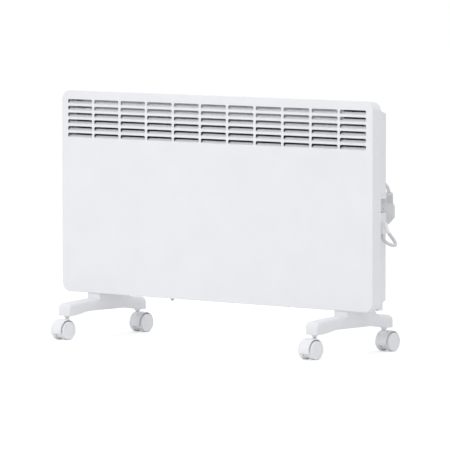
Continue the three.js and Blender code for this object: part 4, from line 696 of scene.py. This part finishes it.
def add_foot(name, side):
    """Beam, neck and collars, on the left for -1 and on the right for 1."""
    place = Matrix.Translation((side * FOOT_X, 0, 0))
    beam = joined_mesh(name + "_beam", [foot_beam(), castor_collar(-STEM_Y), castor_collar(STEM_Y)])
    add_piece(name + "_beam", beam, ABS_FOOT, "foot_plastic", MAIN, name, smooth=35, place=place)
    neck = add_piece(name + "_neck", foot_neck(), ABS_FOOT, "foot_plastic", MAIN, place=place)
    soften(neck, 1.2, segments=3, angle=40)


# ---------------- castors

CASTOR_TRAIL = 13 * MM
WHEEL_RADIUS = 20 * MM
AXLE_Z = WHEEL_RADIUS * math.cos(math.pi / 24)  # the model's wheels stand on one of 24 flats
HOOD_INSIDE = 23 * MM
HOOD_OUTSIDE = 25.2 * MM
HOOD_HALF_WIDTH = 14.75 * MM
WEB_HALF_WIDTH = 7.1 * MM
WEB_RADIUS = 18 * MM  # of the web between the wheels, below the axle
WEB_INSET = 0.8 * MM  # the web's top under the hood's
BOSS_RADIUS = 6.9 * MM  # round boss that takes the stem
BOSS_HEIGHT = HOOD_OUTSIDE - 0.6 * MM  # above the axle
HOOD_LIP = math.radians(14)  # how far the hood reaches below the axle on each side


def castor_place(side, facing):
    """From a castor's own frame, which trails to -Y, to its place under a foot."""
    turn = Matrix.Rotation(math.pi if facing > 0 else 0.0, 4, "Z")
    return Matrix.Translation((side * FOOT_X, facing * STEM_Y, 0)) @ turn


def hood_meshes():
    """The arched hood, the web between the wheels and the stem's boss, each a mesh."""
    outline = arc(HOOD_OUTSIDE, -HOOD_LIP, math.pi + HOOD_LIP, 48)
    outline += arc(HOOD_INSIDE, math.pi + HOOD_LIP, -HOOD_LIP, 48)
    upright = Matrix.Translation((0, -CASTOR_TRAIL, AXLE_Z)) @ YZ_OUTLINE
    shell = slab_mesh("hood_shell", outline, -HOOD_HALF_WIDTH, HOOD_HALF_WIDTH, upright)
    step = math.pi / 24  # the web's side runs straight from one arc to the other
    web = arc(HOOD_OUTSIDE - WEB_INSET, 0, math.pi, 24)
    web += arc(WEB_RADIUS, math.pi + step, 2 * math.pi - step, 22)
    middle = slab_mesh("hood_web", web, -WEB_HALF_WIDTH, WEB_HALF_WIDTH, upright)
    low = AXLE_Z - 4 * MM
    high = AXLE_Z + BOSS_HEIGHT
    rounding = [(BOSS_RADIUS, high - 0.8 * MM), (BOSS_RADIUS - 0.6 * MM, high - 0.1 * MM), (0, high)]
    boss = turned_mesh("hood_boss", [(0, low), (BOSS_RADIUS, low), *rounding], 40)
    return shell, middle, boss


# Radius and height in mm, from the inner face over the tread to the hub cap.
WHEEL_PROFILE = (
    (0.0, 7.5), (8.6, 7.5), (9.0, 8.1), (9.8, 8.1), (10.2, 7.5), (18.6, 7.5), (19.5, 7.8), (19.95, 8.5),
    (20.0, 9.5), (20.0, 17.2), (19.9, 17.9), (19.5, 18.5), (18.9, 18.9), (17.7, 19.45), (17.3, 19.5),
    (16.8, 19.4), (16.4, 18.95), (16.0, 18.8), (11.5, 18.8), (6.0, 19.05), (5.7, 19.45), (5.1, 19.5),
    (0.0, 19.5),
)


def wheel_mesh(name, outward):
    """Moulded wheel: rounded tread, a raised rim round a shallow disc and a small hub cap."""
    lie = Matrix.Rotation(outward * math.pi / 2, 4, "Y")
    place = Matrix.Translation((0, -CASTOR_TRAIL, AXLE_Z)) @ lie
    return turned_mesh(name, in_metres(WHEEL_PROFILE), 72, place)


def add_castor(label, side, facing):
    """Hood and twin wheels; the stem and the axle are the model's own."""
    place = castor_place(side, facing)
    looks = (NYLON_CASTOR, "castor_plastic")
    body = "swivel_" + label
    shell, web, boss = hood_meshes()
    node = "castor_hood_" + label
    hood = add_piece("hood_" + label, shell, *looks, body, node, smooth=35, place=place)
    soften(hood, 0.7, segments=3, angle=50)
    core = joined_mesh("hood_core_" + label, [web, boss])
    add_piece("hood_core_" + label, core, *looks, body, smooth=35, place=place)
    for hand, outward in (("right", 1), ("left", -1)):
        node = f"wheel_{hand}_{label}"
        turned = outward if facing < 0 else -outward
        wheel = wheel_mesh(node, turned)
        add_piece(f"tyre_{hand}_{label}", wheel, *looks, node, node, smooth=40, place=place)


# ---------------- switch, housing and thermostat

ROCKER_TILT = math.radians(7)  # half of the rocker's travel: at rest its lower half stands out
ROCKER_PIVOT = Matrix.Translation((0, 7 * MM, 322 * MM))
ROCKER_PLACE = SIDE_FRAME @ ROCKER_PIVOT @ Matrix.Rotation(-ROCKER_TILT, 4, "Y")
ROCKER_HALF_WIDTH = 13.5 * MM
ROCKER_HALF_HEIGHT = 13.5  # in mm, as the rest of its outline
STROKE_SLOPE = math.radians(7)  # slope of the hollow face under the stroke
RING_SLOPE = math.radians(-6)  # and under the ring
RING_STEPS = 28


def rocker_mesh():
    """Rocker with a shallow hollow face between two raised ends."""
    outline = []
    for i in range(25):
        share = -1 + 2 * i / 24
        outline.append((1.0 + 1.6 * abs(share) ** 1.7, ROCKER_HALF_HEIGHT * share))
    outline += [(0.0, ROCKER_HALF_HEIGHT), (-3.6, 7.4), (-4.5, 0.0), (-3.6, -7.4), (0.0, -ROCKER_HALF_HEIGHT)]
    return slab_mesh("rocker", in_metres(outline), -ROCKER_HALF_WIDTH, ROCKER_HALF_WIDTH, XZ_OUTLINE)


def rocker_marks():
    """The generic marks: a stroke on the upper half and a ring on the lower."""
    stroke = box_mesh("stroke", (1.6 * MM, -0.6 * MM, 5.0 * MM), (1.85 * MM, 0.6 * MM, 9.4 * MM))
    stroke.transform(Matrix.Rotation(STROKE_SLOPE, 4, "Y"))
    points = []
    faces = []
    for i in range(RING_STEPS):
        angle = 2 * math.pi * i / RING_STEPS
        for radius, x in ((1.5, 0.0), (2.3, 0.0), (2.3, 0.25), (1.5, 0.25)):
            points.append(Vector((x, radius * math.cos(angle), radius * math.sin(angle))) * MM)
        a = 4 * i
        b = 4 * ((i + 1) % RING_STEPS)
        for k in range(4):
            m = (k + 1) % 4
            faces.append((a + k, a + m, b + m, b + k))
    ring = mesh_from("ring", points, faces)
    ring.transform(Matrix.Translation((1.62 * MM, 0, -7.3 * MM)) @ Matrix.Rotation(RING_SLOPE, 4, "Y"))
    return joined_mesh("rocker_marks", [stroke, ring])


def add_switch():
    """Rocker with its marks; the housing, the guide and the switch's body are the model's own."""
    body = node = "rocker"
    looks = (ABS_GREY, "control_plastic")
    button = add_piece("rocker_button", rocker_mesh(), *looks, body, node, smooth=25, place=ROCKER_PLACE)
    soften(button, 0.7, segments=3, angle=40)
    add_piece("rocker_marks", rocker_marks(), INK_GREY, "control_plastic", body, place=ROCKER_PLACE)
    dress("control_housing", ABS_HOUSING, 0.5)
    # The guide's lighter ABS is painted light against the shade it sits in.
    dress("cord_guide", ABS_GUIDE_PAINTED_LIGHT, 0.5)
    dress("switch_body", NYLON_DARK, 0.3)


KNOB_PLACE = Matrix.Translation((386 * MM, 21 * MM, 524.25 * MM)) @ Matrix.Rotation(-TOP_ANGLE, 4, "X")
KNOB_RADIUS = 15.5  # in mm, as the flutes' depth
KNOB_FLUTES = 24
FLUTE_DEPTH = 0.45
FLUTE_STEPS = 6  # points round each flute
# Height in mm, share of the knob's radius and share of the flutes' depth.
KNOB_PROFILE = (
    (0.3, 1.0, 0), (2.0, 1.0, 0), (2.4, 0.985, 0.3), (3.2, 0.965, 1),
    (8.4, 0.93, 1), (9.3, 0.9, 0.6), (9.8, 0.86, 0.2), (10.0, 0.8, 0),
)
DIAL_MARKS = 16
DIAL_STEP = 20  # degrees from one mark to the next
DIAL_LONG_EVERY = 5


def knob_mesh():
    """Round knob with a fluted grip, a raised pointer and its shaft."""
    steps = KNOB_FLUTES * FLUTE_STEPS
    rings = []
    for height, share, fluted in KNOB_PROFILE:
        ring = []
        for i in range(steps):
            angle = 2 * math.pi * i / steps
            flute = FLUTE_DEPTH * fluted * (0.5 + 0.5 * math.cos(KNOB_FLUTES * angle))
            radius = KNOB_RADIUS * share - flute
            ring.append(Vector((radius * math.cos(angle), radius * math.sin(angle), height)) * MM)
        rings.append(ring)
    cap = loft_mesh("knob_cap", rings)
    bar = rounded_outline(1.1 * MM, 4 * MM, 0.9 * MM, steps=4, middle=(0, 8.2 * MM))
    pointer = slab_mesh("knob_pointer", bar, 9.6 * MM, 10.7 * MM)
    shaft = turned_mesh("knob_shaft", in_metres([(0, -5.6), (3, -5.6), (3, 1), (0, 1)]), 32)
    return joined_mesh("knob", [cap, pointer, shaft])


def dial_marks():
    """Strokes round the knob, longer at every fifth, printed on the cover's slope."""
    marks = []
    first = DIAL_STEP * (DIAL_MARKS - 1) / 2
    for i in range(DIAL_MARKS):
        turn = Matrix.Rotation(math.radians(first - DIAL_STEP * i), 4, "Z")
        far = (20.2 if i % DIAL_LONG_EVERY == 0 else 18.8) * MM
        marks.append(box_mesh("mark", (-0.3 * MM, 16.6 * MM, 0.02 * MM), (0.3 * MM, far, 0.08 * MM), turn))
    return joined_mesh("dial_marks", marks)


def add_thermostat():
    """Knob and the printed marks round it; the body behind is the model's own."""
    body = node = "thermostat_knob"
    looks = (ABS_GREY, "control_plastic")
    knob = add_piece("thermostat_dial_knob", knob_mesh(), *looks, body, node, smooth=40, place=KNOB_PLACE)
    soften(knob, 0.3, angle=60)
    add_piece("dial_marks", dial_marks(), INK_GREY, "control_plastic", MAIN, place=KNOB_PLACE)
    dress("thermostat_body", NYLON_DARK, 0.4)


# ---------------- cord, strain relief and plug

RELIEF_ROOT_RADIUS = 4.9 * MM
RELIEF_TIP_RADIUS = 4.3 * MM
RELIEF_HEAD = 0.14  # share of the relief's length that its domed head takes
RELIEF_SIDES = 28
RELIEF_RUN_IN = 3 * MM  # the relief's last stretch is straight, in line with the cord


def tapered_tube(name, points, radius_at, sides):
    """Rings across a smooth line; radius_at gives the radius at each share of its length."""
    rings = []
    total = polyline_length(points)
    along = 0.0
    across = None
    for k, point in enumerate(points):
        before = points[max(k - 1, 0)]
        after = points[min(k + 1, len(points) - 1)]
        heading = (after - before).normalized()
        if k:
            along += (point - before).length
        if across is None:
            across = heading.orthogonal().normalized()
        across = (across - heading * across.dot(heading)).normalized()
        other = heading.cross(across)
        radius = radius_at(along / total)
        angles = [2 * math.pi * i / sides for i in range(sides)]
        rings.append([point + (across * math.cos(a) + other * math.sin(a)) * radius for a in angles])
    return loft_mesh(name, rings)


def relief_radius(share):
    """A light taper under a domed head."""
    head = 0.98 * max(1 - share / RELIEF_HEAD, 0.0)
    tapered = RELIEF_ROOT_RADIUS + (RELIEF_TIP_RADIUS - RELIEF_ROOT_RADIUS) * share
    return tapered * math.sqrt(1 - head * head)


def add_cord():
    """The mains cord with its relief, tie and plug, and what holds it at the back."""
    line = beside_cover([(12.3, -4.9, 287.4), (13, -4.4, 281), (14.1, -2.6, 275.1), (14.2, 1.9, 270.4)])
    line += [RELIEF_TIP - TIP_HEADING * RELIEF_RUN_IN, RELIEF_TIP]
    sleeve = tapered_tube("strain_relief_sleeve", catmull_rom(line, 0.5 * MM), relief_radius, RELIEF_SIDES)
    looks = (TPE_RELIEF, "white_rubber")
    relief = add_piece("strain_relief_sleeve", sleeve, *looks, MAIN, "strain_relief", smooth=50)

    route = catmull_rom(cord_points(), CORD_SPACING)
    cord = add_round_curve("mains_cord", route, CORD_RADIUS)
    place_piece(cord, PVC_CORD, "cord_sheath", MAIN, "cord_loop", "cord_hank", "cord_plug_lead")
    dress("hank_tie", NYLON_DARK, 0.3)
    plug = add_plug()
    dress("cord_hook", ABS_HOUSING, 0.6)
    dress("cord_clip", ABS_HOUSING, 0.4)


PLUG_FRAME = Matrix.Translation(PLUG_PLACE) @ Matrix.Rotation(PLUG_TURN, 4, "Z")

# The plug in its own frame and in mm: X from its face to its back, Y across, Z up.
PLUG_PIN_Z = 297
PLUG_RADIUS = 18.5
PLUG_SIDE = (
    (14.9, 311), (12.7, 316), (11.1, 321), (10, 326), (9.2, 332), (8.6, 338), (8.0, 343),
    (7.6, 346), (7.0, 347.1), (6, 347.5),
)
# Chamfered foot, straight middle and a step down to the thinner grip, then round outside the plug.
PLUG_BACK = (
    (3.9, 277), (17.2, 293.4), (18.3, 294.9), (18.8, 296), (19, 297.4), (19, 316.6), (18.7, 318.9),
    (17.8, 321), (15.6, 323.8), (14.9, 326), (14.9, 343.6), (14.2, 346), (12.9, 348.6),
    (40, 349), (40, 265), (3.9, 265),
)
PIN_OFFSET = 9.5  # each pin's place beside the middle
PIN_BORE_RADIUS = 2.7
PIN_BORE_DEPTH = 5.3
SLOT_ROWS = 4
SLOT_TOP_Z = 339.2
SLOT_PITCH = 4.4
SLOT_HALF_HEIGHT = 0.75
SLOT_DEPTH = 1.7
SLOT_COLUMNS = ((1.5, 5.5), (7.2, 10.2), (11.4, 14.0))
GRIP_HALF_WIDTH = 8.4  # at the highest row of slots
GRIP_FLARE = 0.5  # wider from row to row


def plug_blank():
    """The plug's outline given its thickness, with a round edge towards the back."""
    face = arc(PLUG_RADIUS, 0.86 * math.pi, 2.14 * math.pi, 40, (0, PLUG_PIN_Z))
    face += PLUG_SIDE + tuple((-y, z) for y, z in reversed(PLUG_SIDE))
    rings = []
    for x, inset in ((0, 0), (13.8, 0), (15.1, 0.2), (16.4, 0.8), (17.5, 1.7), (18.4, 2.9), (19, 4.3)):
        narrower = 1 - inset / PLUG_RADIUS
        rings.append([Vector((x * MM, y * narrower * MM, z * MM)) for y, z in face])
    return loft_mesh("plug", rings)


def grip_slots(side):
    """The slots of the grip on one of its sides, as solids to take out."""
    slots = []
    for row in range(SLOT_ROWS):
        z = SLOT_TOP_Z - SLOT_PITCH * row
        outer = GRIP_HALF_WIDTH + GRIP_FLARE * row
        near, far = sorted((side * (outer - SLOT_DEPTH), side * (outer + 3)))
        for low, high in SLOT_COLUMNS:
            corner = Vector((low, near, z - SLOT_HALF_HEIGHT)) * MM
            opposite = Vector((high, far, z + SLOT_HALF_HEIGHT)) * MM
            slots.append(box_mesh("slot", corner, opposite))
    return slots


def plug_mesh():
    """Angled plug with a chamfered foot, bores for its pins and slots in its grip."""
    tools = [slab_mesh("plug_back", in_metres(PLUG_BACK), -30 * MM, 30 * MM, XZ_OUTLINE)]
    bore = [(0, -1), (PIN_BORE_RADIUS, -1), (PIN_BORE_RADIUS, PIN_BORE_DEPTH), (0, PIN_BORE_DEPTH)]
    for side in (-1, 1):
        pin = Matrix.Translation(Vector((0, side * PIN_OFFSET, PLUG_PIN_Z)) * MM)
        tools.append(turned_mesh("pin_bore", in_metres(bore), 28, pin @ ALONG_X))
        tools += grip_slots(side)
    return carved(plug_blank(), tools, "plug")


def add_plug():
    """The plug's body; its pins are the model's own."""
    looks = (PVC_PLUG, "plug_plastic")
    plug = add_piece("plug_moulding", plug_mesh(), *looks, MAIN, "plug_body", smooth=32, place=PLUG_FRAME)
    soften(plug, 0.6, segments=3, angle=50)
    for side in ("left", "right"):
        dress("plug_pin_" + side, NICKEL, 0.5, segments=3)
    return plug


# ---------------- inside, screws and the back

FIN_COUNT = 84
FIN_HALF_THICKNESS = 0.35 * MM
FIN_CORNER = 3 * MM
CORE_RADIUS = 6 * MM
CORE_END = 6 * MM  # bare core outside the last fin


def add_element():
    """Pressed aluminium fins on one sheathed core, close together as the real ones are."""
    low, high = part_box("heating_element")
    left = low[0] + CORE_END
    run = high[0] - low[0] - 2 * CORE_END
    middle = [(a + b) / 2 for a, b in zip(low, high)]
    half = [(b - a) / 2 for a, b in zip(low, high)]
    outline = rounded_outline(half[1], half[2], FIN_CORNER, steps=3, middle=middle[1:])
    fins = []
    for i in range(FIN_COUNT):
        x = left + run * (i + 0.5) / FIN_COUNT
        fins.append(slab_mesh("fin", outline, x - FIN_HALF_THICKNESS, x + FIN_HALF_THICKNESS, YZ_OUTLINE))
    lie = Matrix.Translation((0, middle[1], middle[2])) @ ALONG_X
    core = [(0, low[0]), (CORE_RADIUS, low[0]), (CORE_RADIUS, high[0]), (0, high[0])]
    fins.append(turned_mesh("core", core, 32, lie))
    element = joined_mesh("element_fins", fins)
    add_piece("element_fins", element, ALUMINIUM, "aluminium", MAIN, "heating_element")


def add_inside():
    """Sheet-metal pieces, the thermal cut-out, the terminals and the wires inside the casing."""
    for side in ("left", "right"):
        dress("element_bracket_" + side, ZINC, 0.2)
        dress("duct_wall_" + side, ZINC, 0.2)
    dress("air_deflector", ZINC, 0.2)
    dress("base_rail", ZINC, 0.2)
    dress("thermal_cutout", NYLON_DARK, 0.4)
    dress("terminal_block", NYLON_DARK, 0.4)
    dress("wire_live", WIRE_BROWN)
    dress("wire_neutral", WIRE_BLUE)


THREAD_TURNS = 10
COVER_SCREW = (3.4 * MM, 2.2 * MM, 1.8 * MM, 7 * MM)  # head's radius and height, shank's radius and length
LOCK_SCREW = (3.7 * MM, 5.6 * MM, 2.2 * MM)  # the same, with its length from the model


def screw_mesh(head_radius, head_height, shank_radius, shank_length):
    """Pan-head screw with a cross recess and a ringed shank, head towards +Z."""
    root = shank_radius * 0.84
    profile = [(0, -shank_length), (shank_radius * 0.5, -shank_length)]
    for i in range(THREAD_TURNS):
        z = -shank_length + 0.5 * MM + (shank_length - 0.6 * MM) * i / THREAD_TURNS
        profile += [(root, z), (shank_radius, z + 0.25 * MM)]
    profile += [(root, 0), (head_radius, 0), (head_radius, head_height * 0.3)]
    for i in range(1, 7):
        angle = math.pi / 2 * i / 6
        profile.append((head_radius * math.cos(angle * 0.85), head_height * (0.3 + 0.7 * math.sin(angle))))
    profile.append((0, head_height))
    body = turned_mesh("screw", profile, 32)
    depth = head_height * 0.45
    arm = head_radius * 0.55
    thick = head_radius * 0.12
    for half_x, half_y in ((arm, thick), (thick, arm)):
        recess = box_mesh("recess", (-half_x, -half_y, depth), (half_x, half_y, head_height * 2))
        body = carved(body, [recess], "screw")
    return body


def add_screws():
    """Cover screws at the back and the lock screw under the casing, where the model has them."""
    looks = (ZINC, "zinc_steel")
    for side in ("left", "right"):
        for level in ("low", "high"):
            node = f"cover_screw_{side}_{level}"
            low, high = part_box(node)
            head_y = high[1] - COVER_SCREW[1]
            place = Matrix.Translation(((low[0] + high[0]) / 2, head_y, (low[2] + high[2]) / 2))
            place = place @ Matrix.Rotation(-math.pi / 2, 4, "X")
            add_piece(node + "_head", screw_mesh(*COVER_SCREW), *looks, MAIN, node, smooth=35, place=place)
    low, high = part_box("lock_screw")
    head_z = low[2] + LOCK_SCREW[1]
    mesh = screw_mesh(*LOCK_SCREW, high[2] - head_z)
    place = Matrix.Translation(((low[0] + high[0]) / 2, (low[1] + high[1]) / 2, head_z))
    place = place @ Matrix.Rotation(math.pi, 4, "X")
    add_piece("lock_screw_head", mesh, *looks, MAIN, "lock_screw", smooth=35, place=place)
    for side in ("left", "right"):
        dress("foot_screw_" + side, ZINC, 0.4)


def add_rest():
    """The rear cover, the grille, the bare rating plate and the castors' stems and axles."""
    dress("rear_cover", PAINT_COVER, 0.35)
    dress("inlet_grille", PAINT_COVER, 0.3)
    dress("rating_plate", ALUMINIUM, 0.2)
    for label in ("front_left", "rear_left", "front_right", "rear_right"):
        dress("castor_stem_" + label, ZINC_DULL, 0.4)
        dress("castor_axle_" + label, ZINC, 0.3)


# ---------------- floor and light

FLOOR_SIZE = 30.0
FLOOR_Z = -0.5 * MM
FLOOR_LIFT = 0.34  # what the floor gives the camera of its own, to come out white
WORLD_LEVEL = 0.72  # strength of the soft light all round


def add_floor():
    """A matt white floor that keeps the heater's shadow."""
    bpy.ops.mesh.primitive_plane_add(size=FLOOR_SIZE, location=(0, 0, FLOOR_Z))
    floor = bpy.context.object
    floor.name = "studio_floor"
    material = surface(
        "matt_white_floor", "f4f4f5", "f2f2f3", patch_mm=400, grain_mm=3, depth_mm=0.01,
        rough=(0.8, 0.75, 0.85),
    )
    tree = material.node_tree
    shader = tree.nodes["Principled BSDF"]
    # The lift is for the camera alone, so no more light falls on the heater.
    rays = add_node(tree, "ShaderNodeLightPath")
    seen = rays.outputs["Is Camera Ray"]
    lift = add_node(tree, "ShaderNodeMath", {"operation": "MULTIPLY"}, {0: seen, 1: FLOOR_LIFT})
    shader.inputs["Emission Color"].default_value = (1, 1, 1, 1)
    tree.links.new(lift.outputs[0], shader.inputs["Emission Strength"])
    floor.data.materials.append(material)


def add_world():
    """A soft even world that is plain white where the camera, a gloss or a glass shows it."""
    world = bpy.data.worlds.new("studio")
    bpy.context.scene.world = world
    world.use_nodes = True
    tree = world.node_tree
    tree.nodes.clear()
    rays = add_node(tree, "ShaderNodeLightPath")
    seen = rays.outputs["Is Camera Ray"]
    for kind in ("Is Glossy Ray", "Is Transmission Ray"):
        either = add_node(tree, "ShaderNodeMath", {"operation": "MAXIMUM"}, {0: seen, 1: rays.outputs[kind]})
        seen = either.outputs[0]
    soft = add_node(tree, "ShaderNodeBackground", inputs={"Color": (1, 1, 0.99, 1), "Strength": WORLD_LEVEL})
    white = add_node(tree, "ShaderNodeBackground", inputs={"Color": (1, 1, 1, 1), "Strength": 1.0})
    layers = {0: seen, 1: soft.outputs[0], 2: white.outputs[0]}
    mixed = add_node(tree, "ShaderNodeMixShader", inputs=layers)
    add_node(tree, "ShaderNodeOutputWorld", inputs={"Surface": mixed.outputs[0]})


def add_panel_light(name, place, target, size, watts):
    """A square soft light of that size in metres, turned to its target."""
    data = bpy.data.lights.new(name, "AREA")
    data.shape = "SQUARE"
    data.size = size
    data.energy = watts
    aim(new_object(name, data), place, target)


SIDES = (("left", -1), ("right", 1))

add_casing()
for side_name, side in SIDES:
    add_foot("foot_" + side_name, side)
for side_name, side in SIDES:
    add_castor("front_" + side_name, side, -1)
    add_castor("rear_" + side_name, side, 1)
add_switch()
add_thermostat()
add_cord()
add_element()
add_inside()
add_screws()
add_rest()
add_floor()
add_world()
add_panel_light("front_softbox", place=(-1.6, -4.2, 2.6), target=(0, 0, 0.3), size=3.0, watts=48.0)
add_panel_light("top_softbox", place=(0.3, -0.4, 3.2), target=(0, 0, 0.2), size=2.4, watts=18.0)
# From behind on the right: it lifts the rear cover's side and the plug.
add_panel_light("rear_right_softbox", place=(1.3, 4.2, 1.6), target=(0.4, 0.05, 0.25), size=1.6, watts=14.0)
bpy.context.scene.view_settings.view_transform = "Standard"
